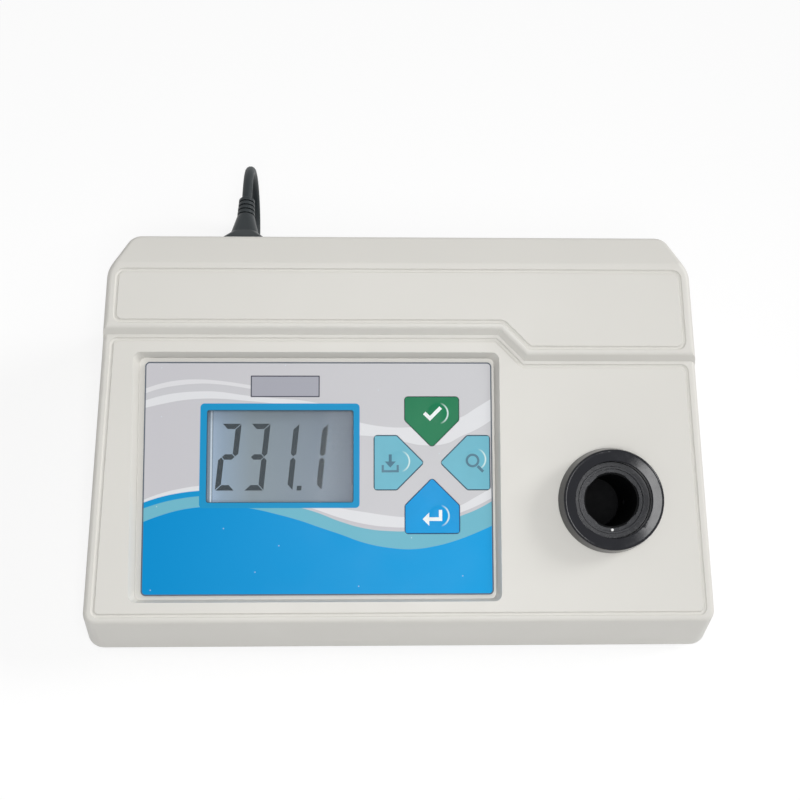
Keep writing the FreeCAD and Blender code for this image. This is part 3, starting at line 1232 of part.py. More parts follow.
def route_tube(points, name):
    """Round tube along straight runs joined by tangent arcs, each as large as its runs allow."""
    places = [Vector(*point) for point in points]
    edges, start, radii = [], places[0], []
    for i in range(1, len(places) - 1):
        before, after = places[i - 1] - places[i], places[i + 1] - places[i]
        shorter = min(before.Length, after.Length)
        before.normalize()
        after.normalize()
        half_turn = (pi - acos(max(-1.0, min(1.0, before.dot(after))))) / 2
        radius = 0.45 * shorter / tan(half_turn)
        radii.append(round(radius, 1))
        entry, leave = places[i] + before * (0.45 * shorter), places[i] + after * (0.45 * shorter)
        bisector = before + after
        bisector.normalize()
        middle = places[i] + bisector * (radius / cos(half_turn) - radius)
        edges.append(Part.LineSegment(start, entry).toShape())
        edges.append(Part.Arc(entry, middle, leave).toShape())
        start = leave
    edges.append(Part.LineSegment(start, places[-1]).toShape())
    path = Part.Wire(edges)
    ring = Part.Wire([Part.Circle(places[0], places[1] - places[0], CORD_DIAMETER / 2).toShape()])
    tube = path.makePipeShell([ring], True, True)
    section = pi * CORD_DIAMETER ** 2 / 4
    print(name, "radii", radii, "length", round(path.Length, 1),
          "volume over section times length", round(tube.Volume / (section * path.Length), 4))
    return tube


def power_cord():
    """From the strain relief down behind the housing and round into the hank on the floor."""
    return route_tube(LEAD_ROUTE, "power_cord")


def hank_middle_y():
    return HANK_Y + HANK_INNER_RADIUS + CORD_DIAMETER


def stadium(half_width, level):
    """Long loop outline: two straight runs joined by half circles."""
    middle = hank_middle_y()
    left, right = HANK_LEFT, HANK_LEFT + HANK_RUN
    low, high = middle - half_width, middle + half_width
    edges = [Part.LineSegment(Vector(left, low, level), Vector(right, low, level)).toShape(),
             Part.Arc(Vector(right, low, level), Vector(right + half_width, middle, level),
                      Vector(right, high, level)).toShape(),
             Part.LineSegment(Vector(right, high, level), Vector(left, high, level)).toShape(),
             Part.Arc(Vector(left, high, level), Vector(left - half_width, middle, level),
                      Vector(left, low, level)).toShape()]
    return Part.Wire(edges)


def cord_hank():
    """Outer shape of the wound turns: two side by side, two layers high."""
    half = CORD_DIAMETER / 2
    low, height = TIE_THICKNESS, 2 * CORD_DIAMETER
    outer = Part.Face(stadium(HANK_INNER_RADIUS + CORD_DIAMETER + half, low)).extrude(Vector(0, 0, height))
    inner = Part.Face(stadium(HANK_INNER_RADIUS - half, low)).extrude(Vector(0, 0, height))
    levels = (low, low + height)
    return rounded(outer.cut(inner), 2.0, lambda edge: min(abs(edge.CenterOfMass.z - z) for z in levels) < TOUCH)


def cord_tie():
    """Flat strap round both sides of the hank."""
    gap = 0.2
    half = HANK_INNER_RADIUS + 1.5 * CORD_DIAMETER + gap
    middle, height = hank_middle_y(), 2 * CORD_DIAMETER + gap
    def band(grow):
        points = box_points(middle - half - grow, TIE_THICKNESS - grow, middle + half + grow,
                            TIE_THICKNESS + height + grow)
        face = Part.Face(outline(points, 1.5 + grow))
        face.rotate(Vector(0, 0, 0), Vector(1, 1, 1), 120)
        return face.extrude(Vector(TIE_WIDTH, 0, 0))
    strap = band(TIE_THICKNESS).cut(band(0.0))
    return moved(strap, HANK_LEFT + HANK_RUN / 2 - TIE_WIDTH / 2, 0, 0)


def cord_tail():
    """Short end of the lead from the hank's top layer into the plug, cut flush with the plug's end."""
    start = Vector(HANK_LEFT + HANK_RUN, HANK_Y, TIE_THICKNESS + 1.5 * CORD_DIAMETER)
    end = Vector(PLUG_START, PLUG_Y, PLUG_HEIGHT / 2)
    tube = Part.makeCylinder(CORD_DIAMETER / 2, (end - start).Length + CORD_DIAMETER, start, end - start)
    return tube.cut(beyond(end, Vector(1, 0, 0)))


def mains_plug():
    """Moulded plug lying on the floor: ribbed strain relief, finger grips and a flat face."""
    def section(width, height, radius, level):
        return outline(box_points(-width / 2, -height / 2, width / 2, height / 2), radius, level)
    body_start = PLUG_RELIEF
    end = PLUG_RELIEF + PLUG_LENGTH
    body = loft([section(10.4, 10.4, 5.1, body_start), section(15.0, 14.0, 5.0, body_start + 7.0),
                 section(PLUG_WIDTH - 3.0, PLUG_HEIGHT - 3.0, 5.0, body_start + 16.0),
                 section(PLUG_WIDTH, PLUG_HEIGHT, 4.0, end - 9.0), section(PLUG_WIDTH, PLUG_HEIGHT, 4.0, end)])
    relief = [rod(0, 0, 0, body_start, CORD_DIAMETER / 2 + 0.9)]
    for i in range(4):
        low = i * 3.5 + 0.6
        relief.append(turned([(0, low), (4.4 + 0.25 * i, low), (4.4 + 0.25 * i, low + 2.3), (0, low + 2.3)],
                             [0, 0.4, 0.4, 0]))
    solid = joined([body] + relief)
    return moved(along_x(solid), PLUG_START, PLUG_Y, PLUG_HEIGHT / 2)


def plug_pins():
    """Three flat pins, two of them slanted."""
    start = PLUG_RELIEF + PLUG_LENGTH
    def pin(width, angle, x, y):
        blade = block(-0.8, -width / 2, 0.8, width / 2, start, start + PLUG_PIN_LENGTH, 0.5)
        blade.rotate(Vector(0, 0, 0), Vector(0, 0, 1), angle)
        return moved(blade, x, y, 0)
    pins = [pin(6.2, -30.0, -3.6, -5.2), pin(6.2, 30.0, -3.6, 5.2), pin(7.0, 90.0, 6.4, 0.0)]
    return group(moved(along_x(blade), PLUG_START, PLUG_Y, PLUG_HEIGHT / 2) for blade in pins)


NODES = {
    "upper_cover": upper_cover, "base_tray": base_tray, "cover_screws": cover_screws,
    "rubber_feet": rubber_feet, "foot_screws": foot_screws,
    "keypad_overlay": keypad_overlay, "keypad_circuit": keypad_circuit, "key_domes": key_domes,
    "keypad_tail": keypad_tail, "display_window": display_window, "lcd_glass": lcd_glass,
    "backlight_plate": backlight_plate, "lcd_bezel": lcd_bezel, "main_board": main_board,
    "board_screws": board_screws, "board_chips": board_chips, "board_connectors": board_connectors,
    "well_collar": well_collar, "collar_nut": collar_nut, "well_guide": well_guide,
    "index_mark": index_mark, "sample_chamber": sample_chamber, "optical_block": optical_block,
    "block_screws": block_screws, "led_lamp": led_lamp, "collimating_lens": collimating_lens,
    "colour_filter": colour_filter, "photodiode": photodiode, "detector_board": detector_board,
    "power_inlet": power_inlet, "inlet_pins": inlet_pins, "inlet_screws": inlet_screws,
    "switch_body": switch_body, "switch_rocker": switch_rocker, "fuse_holder": fuse_holder,
    "fuse_cap": fuse_cap, "fuse_link": fuse_link, "transformer_core": transformer_core,
    "transformer_coil": transformer_coil, "transformer_screws": transformer_screws,
    "power_board": power_board, "power_board_screws": power_board_screws,
    "power_board_parts": power_board_parts, "lead_connector": lead_connector,
    "power_cord": power_cord, "cord_hank": cord_hank, "cord_tie": cord_tie, "cord_tail": cord_tail,
    "mains_plug": mains_plug, "plug_pins": plug_pins,
}


def main():
    os.makedirs("parts", exist_ok=True)
    shapes = {name: make() for name, make in NODES.items()}
    for name in KEY_TIPS:
        shapes["key_" + name] = key(name)
    for name, shape in shapes.items():
        shape.exportStep("parts/" + name + ".step")


main()
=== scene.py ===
import json
from math import cos, pi, radians, sin, sqrt

import bpy
from bpy.props import FloatProperty, FloatVectorProperty, PointerProperty, StringProperty
from mathutils import Matrix, Vector


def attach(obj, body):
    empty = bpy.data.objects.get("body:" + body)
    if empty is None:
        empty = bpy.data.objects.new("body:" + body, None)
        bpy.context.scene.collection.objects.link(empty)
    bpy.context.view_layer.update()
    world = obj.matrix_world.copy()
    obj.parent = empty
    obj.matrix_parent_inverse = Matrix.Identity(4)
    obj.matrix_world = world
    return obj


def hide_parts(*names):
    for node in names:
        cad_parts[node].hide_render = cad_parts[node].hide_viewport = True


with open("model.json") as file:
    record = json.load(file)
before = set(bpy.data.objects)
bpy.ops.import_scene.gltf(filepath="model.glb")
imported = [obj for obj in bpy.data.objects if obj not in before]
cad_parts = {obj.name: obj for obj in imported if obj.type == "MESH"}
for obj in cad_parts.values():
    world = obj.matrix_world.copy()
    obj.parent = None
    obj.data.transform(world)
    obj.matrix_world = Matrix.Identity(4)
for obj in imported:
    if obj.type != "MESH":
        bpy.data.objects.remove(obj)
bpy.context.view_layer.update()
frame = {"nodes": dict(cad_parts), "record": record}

bl_info = {
    "name": "Bench beer tester",
    "version": (1, 0, 0),
    "blender": (4, 5, 0),
    "location": "3D View > Sidebar > Tester",
    "description": "Dresses a bench analyser with a sloped face, a keypad, a display and a sample well",
    "category": "Object",
}

RECORD = frame["record"]
BODY_OF = {node: body for body, nodes in RECORD["behaviour"]["bodies"].items() for node in nodes}
MM = 0.001

# Camera, at the photograph's viewpoint
CAMERA_PLACE = (-0.020977, -0.309478, 0.656917)
CAMERA_YAW = radians(-3.8374)
CAMERA_PITCH = radians(61.5007)
CAMERA_ROLL = radians(3.4114)
CAMERA_LENS = 54.627

# Stage, in metres: white paper, a broad soft sun from the right and a panel light from the front
FLOOR_SIZE = 12
PAPER_GREY = 0.84
PAPER_GLOW = 1.05
SHADOW_SHARE = 0.25
SUN_PLACE, SUN_TARGET = (2.0, 0.55, 1.3), (0, 0, 0.05)
SUN_SPREAD = radians(22)
PANEL_PLACE, PANEL_TARGET = (0.04, -0.47, 0.99), (0.111, -0.05, 0.075)
PANEL_SIZE = (0.27, 0.58)

# Mains lead, in metres: its way down behind the housing, its wound turns and its plug
LEAD_ROUTE = [
    (-0.0902, 0.1475, 0.066), (-0.0902, 0.1657, 0.066), (-0.0902, 0.1821, 0.0541),
    (-0.0902, 0.1883, 0.0349), (-0.0902, 0.1821, 0.0157), (-0.0902, 0.1657, 0.0038),
    (-0.0902, 0.1307, 0.0038), (-0.0814, 0.1153, 0.0038), (-0.066, 0.1065, 0.0038),
    (-0.05, 0.1065, 0.0038)]
HANK_LEFT, HANK_RIGHT = -0.050, 0.068
HANK_NEAR, HANK_MIDDLE = 0.1065, 0.1305
HANK_LEVEL = 0.0038
TURN_CORNERS = 6
PLUG_ENTRY = (0.097, 0.1135, 0.012)

# Noise that is spread over its whole range, and streaks left on drawn metal
NOISE_LOW, NOISE_HIGH = 0.3, 0.7
STREAK_SHAPE = (1.0, 0.05, 1.0)
STREAK_SWING = 0.12

# Pitch of Blender's wave texture at a scale of 1
WAVE_LENGTH = 0.314

# Smooth copies: the gap that is welded, in millimetres, and the angle past which an edge stays sharp,
# for the pieces and for the cover
WELD_GAP = 0.002
SHARP_ANGLE, COVER_ANGLE = 32, 30

# Control face in millimetres: x to the right, w up the slope and h off the face
SLOPE = radians(22)
FACE_START = (0.0, -109.5, 44.0)
KEY_TOP = -2.9
LCD_TOP = -8.0

# Boxes printed on the film, as left, front, right and rear, with their corners and lines, how much their
# edges blur, and how far they reach through the film; the window's line is not print but a ring of painted
# shade where the film's cut edge shades the window
FILM_BOX, FILM_CORNER, FILM_LINE = (-136.3, 13.9, 49.1, 137.6), 2.5, 0.7
FRAME_BOX, FRAME_CORNER = (-106.6, 59.6, -21.8, 115.3), 2.2
WINDOW_BOX, WINDOW_CORNER, WINDOW_LINE = (-102.7, 62.8, -25.4, 111.4), 1.4, 0.4
PLATE_BOX, PLATE_CORNER, PLATE_LINE = (-80.0, 118.7, -43.2, 130.3), 0.3, 0.6
BOX_BLUR = 0.12
BOX_DEPTH = 100.0

# Dust specks: their spacing in millimetres, and the edge of each as a share of it
SPECK_SPACING = 38
SPECK_EDGE = (0.005, 0.012)

# Keys: the middle of their pad, then each one's bump, the arc of painted highlight on the bump's right
# side, outline and mark
KEY_PAD = (16.8, 83.6)
BUMPS = {"top": (3.0, 26.4), "left": (-17.7, 0.7), "right": (23.0, 1.8), "bottom": (3.2, -28.2)}
# The painted highlight on each bump: the radius of its arc, the blur of its edge, and how far right of the
# bump's middle it starts and becomes full
ARC_RADIUS = 5.6
ARC_EDGE = (0.15, 0.6)
ARC_SIDE = (1.5, 5.2)
KEY_TURNS = {"top": 0, "left": 90, "bottom": 180, "right": 270}
KEY_HALF = 14.5
KEY_TIPS = {"top": 8.2, "left": 4.3, "right": 4.3, "bottom": 8.2}
KEY_ENDS = {"top": 35.3, "left": 30.9, "right": 30.9, "bottom": 37.6}
KEY_LINE = (0.28, 0.42)
MARK_SPOTS = {"top": (0.2, 25.4), "left": (-22.3, -0.2), "right": (22.3, 0.0), "bottom": (0.2, -29.2)}
MARK_SCALE = 1.35
MARK_START, MARK_LIFT, MARK_THICKNESS = 0.2, 0.02, 0.03
MARK_CUTS = 5
LENS_PLACE, LENS_OUTSIDE, LENS_INSIDE, LENS_SIDES = (-0.5, 0.8), 2.7, 1.8, 40

# Printed bands, as the height of each edge up the face at places across it, and where bands end
BAND_LEFT, BAND_RIGHT, BAND_RISE = -140.0, 52.0, 140.0
EDGE_BLUR = 0.16
UPPER_BAND_END, SECOND_BAND_END = -80, -40
SWOOSH_START, STRIPE_CHANGE = -24, -60
UPPER_BAND_TOP = [
    (-135, 123.6), (-126.7, 126.2), (-117.6, 127.8), (-108.4, 128.2), (-99, 127.7), (-81, 125.2)]
UPPER_BAND_FOOT = [
    (-135, 121), (-126.6, 123.6), (-117.5, 125.1), (-108.4, 125.9), (-99, 125.7), (-81, 123.3)]
SECOND_BAND_TOP = [
    (-135, 117.2), (-126.5, 119.6), (-117.4, 121.1), (-108.3, 121.7), (-99, 121.7), (-81, 119.4),
    (-67, 118.1), (-52, 116.8), (-40, 114.5)]
SECOND_BAND_FOOT = [
    (-135, 113.1), (-126.4, 115.1), (-117.4, 116.8), (-108.2, 117.7), (-99, 117.9), (-81, 116.6),
    (-60, 114.5), (-40, 112.5)]
SWOOSH_TOP = [
    (-24, 105.6), (-9.3, 102.9), (1.8, 102.4), (19.3, 104.1), (32.2, 107.8), (40.6, 112.9), (49, 118)]
SWOOSH_FOOT = [
    (-24, 98.2), (-13.9, 97.6), (1.7, 94.8), (10.9, 93), (24.8, 93.9), (32.2, 97.6), (40.5, 101.3),
    (49, 106.5)]
WHITE_TOP = [
    (-136, 64), (-125.6, 67.8), (-116.6, 69.9), (-107, 71.4), (-92, 72), (-60, 67.5), (-32.2, 59.6),
    (-18.5, 57.3), (-4.8, 55.3), (2.5, 54.7), (19, 55.9), (31.8, 60.8), (40.2, 65.4), (49, 70.3)]
STRIPE_TOP = [
    (-136, 62.6), (-125.5, 65.9), (-116.5, 67.7), (-107, 68.8), (-92, 69.4), (-60, 64), (-43.8, 58.4),
    (-32.2, 54.4), (-18.5, 51), (-4.8, 49.4), (2.5, 49.3), (18.9, 52), (31.8, 57), (40.1, 60.4),
    (49, 65)]
TEAL_TOP = [
    (-136, 59.5), (-125.5, 62.8), (-116.5, 64.7), (-107, 65.9), (-92, 66.4), (-70, 63.8), (-52, 59.5),
    (-43.8, 57), (-32.2, 52.5), (-18.5, 48.7), (-4.8, 47.3), (2.5, 47.3), (18.9, 50), (31.8, 55.2),
    (40.1, 58.5), (49, 63.3)]
BLUE_TOP = [
    (-136, 52.4), (-125.3, 56.3), (-116.4, 58.7), (-107, 60.1), (-92, 60.9), (-78.4, 59.3),
    (-66.5, 56.6), (-53, 52.9), (-43.8, 49.7), (-32.2, 45.8), (-18.5, 41), (-4.8, 38.4), (6.1, 37.8),
    (18.9, 39.5), (31.7, 43.1), (40, 46.3), (49, 50.3)]

# Seven-segment reading, in millimetres on the display
DIGIT_RIGHT, DIGIT_FOOT = -86.9, 69.1
DIGIT_WIDTH, DIGIT_HEIGHT = 10.3, 35.8
DIGIT_PITCH = 15.5
DIGIT_STROKE = 2.9
DIGIT_GAP = 0.3
DIGIT_LEAN = 0.1
DIGIT_LIFT, DIGIT_THICKNESS = 0.01, 0.04
POINT_SIZE, POINT_SPACE = 2.5, 2.2
SEGMENTS = {"0": "abcdef", "1": "bc", "2": "abdeg", "3": "abcdg", "4": "bcfg", "5": "acdfg", "6": "acdefg",
            "7": "abc", "8": "abcdefg", "9": "abcdfg", " ": ""}

# Tones of the display's glass at shares of its width, where None is the colour that the user sets: near the
# left edge, a bright streak between dark lines is a painted reflection of the window's edge with a painted
# glow fading from it, and the glass darkens towards the right; then its brightness at the foot and at the
# head
GLASS_TONES = [(0.0, "#7E8E9F"), (0.012, "#7E8E9F"), (0.016, "#DCE8F2"), (0.024, "#DCE8F2"),
               (0.028, "#5E6E80"), (0.034, "#A9BDD4"), (0.1, "#9AAEC2"), (0.3, None), (0.7, "#8794A1"),
               (1.0, "#727F90")]
GLASS_FOOT, GLASS_HEAD = 1.06, 0.92


def linear(code):
    """Turn an sRGB hex colour into linear red, green and blue."""
    parts = [int(code[i:i + 2], 16) / 255 for i in (1, 3, 5)]
    return tuple(p / 12.92 if p <= 0.04045 else ((p + 0.055) / 1.055) ** 2.4 for p in parts)


def paint(code):
    """A hex colour as the four values that a node's socket takes."""
    return (*linear(code), 1)


class LeadLook(bpy.types.PropertyGroup):
    diameter: FloatProperty(name="Cord diameter", description="Outside diameter of the mains lead",
                            default=0.006, min=0.003, max=0.012, unit="LENGTH")
    colour: FloatVectorProperty(name="Cord colour", description="Colour of the lead and its mouldings",
                                default=linear("#20272A"), subtype="COLOR", size=3, min=0, max=1)


class HousingLook(bpy.types.PropertyGroup):
    colour: FloatVectorProperty(name="Cover colour", description="Colour of the moulded cover",
                                default=linear("#DDDBD5"), subtype="COLOR", size=3, min=0, max=1)
    tray_colour: FloatVectorProperty(name="Tray colour", description="Colour of the bottom tray",
                                     default=linear("#B9B8B2"), subtype="COLOR", size=3, min=0, max=1)
    roughness: FloatProperty(name="Cover roughness", description="How matt the moulded cover is",
                             default=0.48, min=0, max=1, subtype="FACTOR")


class KeypadLook(bpy.types.PropertyGroup):
    ground: FloatVectorProperty(name="Film grey", description="Ground colour of the printed film",
                                default=linear("#D2D2D5"), subtype="COLOR", size=3, min=0, max=1)
    band: FloatVectorProperty(name="Band white", description="Colour of the pale bands",
                              default=linear("#E6E7EA"), subtype="COLOR", size=3, min=0, max=1)
    teal: FloatVectorProperty(name="Teal", description="Colour of the teal band and the side keys",
                              default=linear("#74BCCF"), subtype="COLOR", size=3, min=0, max=1)
    blue: FloatVectorProperty(name="Blue", description="Colour of the broad lower band and the bottom key",
                              default=linear("#009CE0"), subtype="COLOR", size=3, min=0, max=1)
    green: FloatVectorProperty(name="Green", description="Colour of the top key",
                               default=linear("#1F7D54"), subtype="COLOR", size=3, min=0, max=1)


class DisplayLook(bpy.types.PropertyGroup):
    reading: StringProperty(name="Reading", description="Digits that the display shows", default="231.1")
    colour: FloatVectorProperty(name="Glass colour", description="Colour of the unlit display",
                                default=linear("#8F9DA6"), subtype="COLOR", size=3, min=0, max=1)


class WellLook(bpy.types.PropertyGroup):
    colour: FloatVectorProperty(name="Collar colour", description="Colour of the sample well's collar",
                                default=linear("#0E1018"), subtype="COLOR", size=3, min=0, max=1)


class StudioLook(bpy.types.PropertyGroup):
    sky: FloatProperty(name="Even light", description="Level of the light from all round",
                       default=0.27, min=0, max=2)
    side_light: FloatProperty(name="Side light", description="Strength of the soft light from the right",
                              default=1.35, min=0, max=10)
    top_light: FloatProperty(name="Top light", description="Power of the panel light above", default=5.3,
                             min=0, max=100, subtype="POWER")


# Nodes and finishes

def add(tree, kind, inputs=None, **settings):
    """Add a node with its settings, and fill or link its inputs."""
    node = tree.nodes.new(kind)
    for name, value in settings.items():
        setattr(node, name, value)
    for place, value in (inputs or {}).items():
        if isinstance(value, bpy.types.Node):
            value = next(socket for socket in value.outputs if socket.enabled)
        if isinstance(value, bpy.types.NodeSocket):
            tree.links.new(value, node.inputs[place])
        else:
            node.inputs[place].default_value = value
    return node


def finish(name, **constants):
    """A new material, its node tree and its main shader with constant values on its own sockets."""
    material = bpy.data.materials.new(name)
    material.use_nodes = True
    shader = material.node_tree.nodes["Principled BSDF"]
    for socket, value in constants.items():
        shader.inputs[socket.replace("_", " ")].default_value = value
    return material, material.node_tree, shader


def millimetres(tree):
    """The place on the piece, in millimetres."""
    place = add(tree, "ShaderNodeTexCoord")
    return add(tree, "ShaderNodeMapping", {"Vector": place.outputs["Object"], "Scale": [1 / MM] * 3})


def on_face(tree):
    """The place on the control face in millimetres: across, up the slope and off the face."""
    place = add(tree, "ShaderNodeTexCoord")
    return add(tree, "ShaderNodeMapping", {
        "Vector": place.outputs["Object"], "Location": [value * MM for value in FACE_START],
        "Rotation": (SLOPE, 0, 0), "Scale": [MM] * 3}, vector_type="TEXTURE")


def wander(tree, patch, detail, middle, amount):
    """A value that wanders round a middle one over patches of a size in millimetres."""
    patches = add(tree, "ShaderNodeTexNoise", {"Vector": millimetres(tree), "Scale": 1 / patch,
                                               "Detail": detail})
    return add(tree, "ShaderNodeMapRange", {
        "Value": patches.outputs[0], "From Min": NOISE_LOW, "From Max": NOISE_HIGH,
        "To Min": middle - amount, "To Max": middle + amount})


def drift(tree, colour, patch, amount):
    """A colour that turns slightly lighter and darker over patches of a size in millimetres."""
    level = wander(tree, patch, detail=3.0, middle=1.0, amount=amount)
    return add(tree, "ShaderNodeMix", {0: 1.0, 6: colour, 7: level}, data_type="RGBA",
               blend_type="MULTIPLY")


def relief(tree, shader, grain, depth):
    """Fine bumps of a size and depth in millimetres."""
    bumps = add(tree, "ShaderNodeTexNoise", {"Vector": millimetres(tree), "Scale": 1 / grain,
                                             "Detail": 2.0})
    bump = add(tree, "ShaderNodeBump", {"Height": bumps.outputs[0], "Distance": depth * MM,
                                        "Strength": 1.0})
    tree.links.new(bump.outputs[0], shader.inputs["Normal"])


def uneven_gloss(tree, shader, roughness, patch, amount=0.04):
    """Roughness that wanders over patches of a size in millimetres, as handling and moulding leave it."""
    level = wander(tree, patch, detail=4.0, middle=roughness, amount=amount)
    tree.links.new(level.outputs[0], shader.inputs["Roughness"])


def moulded(name, colour, roughness, patch=30.0, amount=0.03, grain=0.9, depth=0.006, **constants):
    """Moulded plastic or rubber: a colour that drifts a little, a fine grain and an uneven sheen."""
    material, tree, shader = finish(name, **constants)
    tree.links.new(drift(tree, (*colour, 1), patch, amount).outputs[2], shader.inputs["Base Color"])
    relief(tree, shader, grain, depth)
    uneven_gloss(tree, shader, roughness, patch / 3)
    return material


def plated(name, code, roughness):
    """Plated or drawn metal: bright, with fine streaks that follow how it was made."""
    material, tree, shader = finish(name, Metallic=1.0)
    stretched = add(tree, "ShaderNodeMapping", {"Vector": millimetres(tree), "Scale": STREAK_SHAPE})
    streaks = add(tree, "ShaderNodeTexNoise", {"Vector": stretched, "Scale": 3.0, "Detail": 4.0})
    level = add(tree, "ShaderNodeMapRange", {
        "Value": streaks.outputs[0], "To Min": roughness - STREAK_SWING,
        "To Max": roughness + STREAK_SWING})
    tree.links.new(level.outputs[0], shader.inputs["Roughness"])
    tint = drift(tree, paint(code), patch=2.0, amount=0.06)
    tree.links.new(tint.outputs[2], shader.inputs["Base Color"])
    return material


def clear(name, code, roughness, **constants):
    """Glass or clear plastic, with faint smears that dull it in places."""
    material, tree, shader = finish(name, **constants)
    tint = drift(tree, paint(code), patch=12.0, amount=0.02)
    tree.links.new(tint.outputs[2], shader.inputs["Base Color"])
    uneven_gloss(tree, shader, roughness, patch=9.0, amount=0.02)
    return material


def striped(name, first, second, pitch, direction, roughness):
    """Layers or turns seen edge on, in two tones at a pitch in millimetres."""
    material, tree, shader = finish(name, Roughness=roughness)
    bands = add(tree, "ShaderNodeTexWave", {
        "Vector": millimetres(tree), "Scale": WAVE_LENGTH / pitch, "Distortion": 0.4, "Detail": 1.0},
        bands_direction=direction)
    tone = add(tree, "ShaderNodeMix", {0: bands.outputs["Fac"], 6: paint(first), 7: paint(second)},
               data_type="RGBA")
    tree.links.new(tone.outputs[2], shader.inputs["Base Color"])
    bump = add(tree, "ShaderNodeBump", {"Height": bands.outputs["Fac"], "Distance": pitch * 0.2 * MM})
    tree.links.new(bump.outputs[0], shader.inputs["Normal"])
    return material


# Shapes and places

def select_only(*pieces):
    """Select these pieces and nothing else, with the first active, so that an operator acts on them."""
    bpy.ops.object.select_all(action="DESELECT")
    for piece in pieces:
        piece.select_set(True)
    if pieces:
        bpy.context.view_layer.objects.active = pieces[0]


def settle(piece, body):
    """Tie a finished piece to its body."""
    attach(piece, body)
    return piece


def dress(name, material):
    """Give a CAD piece its material."""
    part = frame["nodes"][name]
    if not part.material_slots:
        part.data.materials.append(material)
    for slot in part.material_slots:
        slot.material = material
    return part


def skin(name, material, angle=SHARP_ANGLE):
    """Put a merged, smoothly shaded copy in the place of a CAD piece with curved faces."""
    part = frame["nodes"][name]
    copy = bpy.data.objects.new(name + "_skin", part.data.copy())
    bpy.context.scene.collection.objects.link(copy)
    select_only(copy)
    bpy.ops.mesh.customdata_custom_splitnormals_clear()
    bpy.ops.object.mode_set(mode="EDIT")
    bpy.ops.mesh.select_all(action="SELECT")
    bpy.ops.mesh.remove_doubles(threshold=WELD_GAP * MM)
    bpy.ops.object.mode_set(mode="OBJECT")
    bpy.ops.object.shade_smooth_by_angle(angle=radians(angle))
    even = copy.modifiers.new("even_shading", "WEIGHTED_NORMAL")
    even.keep_sharp = True
    bpy.ops.object.modifier_apply(modifier=even.name)
    copy.data.materials.clear()
    copy.data.materials.append(material)
    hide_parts(name)
    return settle(copy, BODY_OF[name])


def face_matrix(x, w, h):
    """Takes millimetres from a spot on the control face to metres in the scene."""
    return (Matrix.Scale(MM, 4) @ Matrix.Translation(FACE_START) @ Matrix.Rotation(SLOPE, 4, "X")
            @ Matrix.Translation((x, w, h)))


def flat_shape(points):
    """A flat face with the outline of the points, in millimetres."""
    select_only()
    bpy.ops.mesh.primitive_circle_add(vertices=len(points), fill_type="NGON")
    shape = bpy.context.object
    for vertex, (x, y) in zip(shape.data.vertices, points):
        vertex.co = (x, y, 0)
    bpy.ops.object.mode_set(mode="EDIT")
    bpy.ops.mesh.select_all(action="SELECT")
    bpy.ops.mesh.normals_make_consistent(inside=False)
    bpy.ops.object.mode_set(mode="OBJECT")
    return shape


def apply_all(piece):
    """Apply the modifiers of a piece in their order."""
    select_only(piece)
    for modifier in list(piece.modifiers):
        bpy.ops.object.modifier_apply(modifier=modifier.name)


def thicken(piece, thickness):
    """Give a flat piece a thickness in millimetres, to the side away from the control face."""
    layer = piece.modifiers.new("layer", "SOLIDIFY")
    layer.thickness, layer.offset = thickness * MM, 1.0
    apply_all(piece)


def press_on(piece, base):
    """Divide a flat piece finely and lay it on the surface below it."""
    select_only(piece)
    bpy.ops.object.mode_set(mode="EDIT")
    bpy.ops.mesh.select_all(action="SELECT")
    bpy.ops.mesh.quads_convert_to_tris()
    bpy.ops.mesh.subdivide(number_cuts=MARK_CUTS)
    bpy.ops.object.mode_set(mode="OBJECT")
    wrap = piece.modifiers.new("wrap", "SHRINKWRAP")
    wrap.target, wrap.wrap_method, wrap.wrap_mode = base, "NEAREST_SURFACEPOINT", "ABOVE_SURFACE"
    wrap.offset = MARK_LIFT * MM
    apply_all(piece)


def as_one(shapes, name, matrix, material):
    """Join shapes into one piece, put in its place through its mesh."""
    select_only(*shapes)
    bpy.ops.object.transform_apply(location=True, rotation=True, scale=True)
    if len(shapes) > 1:
        bpy.ops.object.join()
    piece = bpy.context.object
    piece.name = piece.data.name = name
    piece.data.transform(matrix)
    piece.data.materials.clear()
    piece.data.materials.append(material)
    return piece


# Printed face

def grown(box, margin):
    """A box made larger by a margin on each side."""
    left, front, right, rear = box
    return left - margin, front - margin, right + margin, rear + margin


def in_box(tree, place, box, corner):
    """1 inside a box with rounded corners on the control face, and 0 outside it."""
    left, front, right, rear = box
    centre = ((left + right) / 2, (front + rear) / 2, 0)
    half = ((right - left) / 2 - corner, (rear - front) / 2 - corner, BOX_DEPTH)
    away = add(tree, "ShaderNodeVectorMath", {0: place, 1: centre}, operation="SUBTRACT")
    size = add(tree, "ShaderNodeVectorMath", {0: away}, operation="ABSOLUTE")
    past = add(tree, "ShaderNodeVectorMath", {0: size, 1: half}, operation="SUBTRACT")
    over = add(tree, "ShaderNodeVectorMath", {0: past, 1: (0, 0, 0)}, operation="MAXIMUM")
    reach = add(tree, "ShaderNodeVectorMath", {0: over}, operation="LENGTH")
    return add(tree, "ShaderNodeMapRange", {
        "Value": reach.outputs["Value"], "From Min": corner - BOX_BLUR, "From Max": corner + BOX_BLUR,
        "To Min": 1.0, "To Max": 0.0})


def outline_of(tree, place, box, corner, width):
    """1 on a thin line just inside a box with rounded corners."""
    outside = in_box(tree, place, box, corner)
    inside = in_box(tree, place, grown(box, -width), corner - width)
    return add(tree, "ShaderNodeMath", {0: outside, 1: inside}, operation="SUBTRACT")


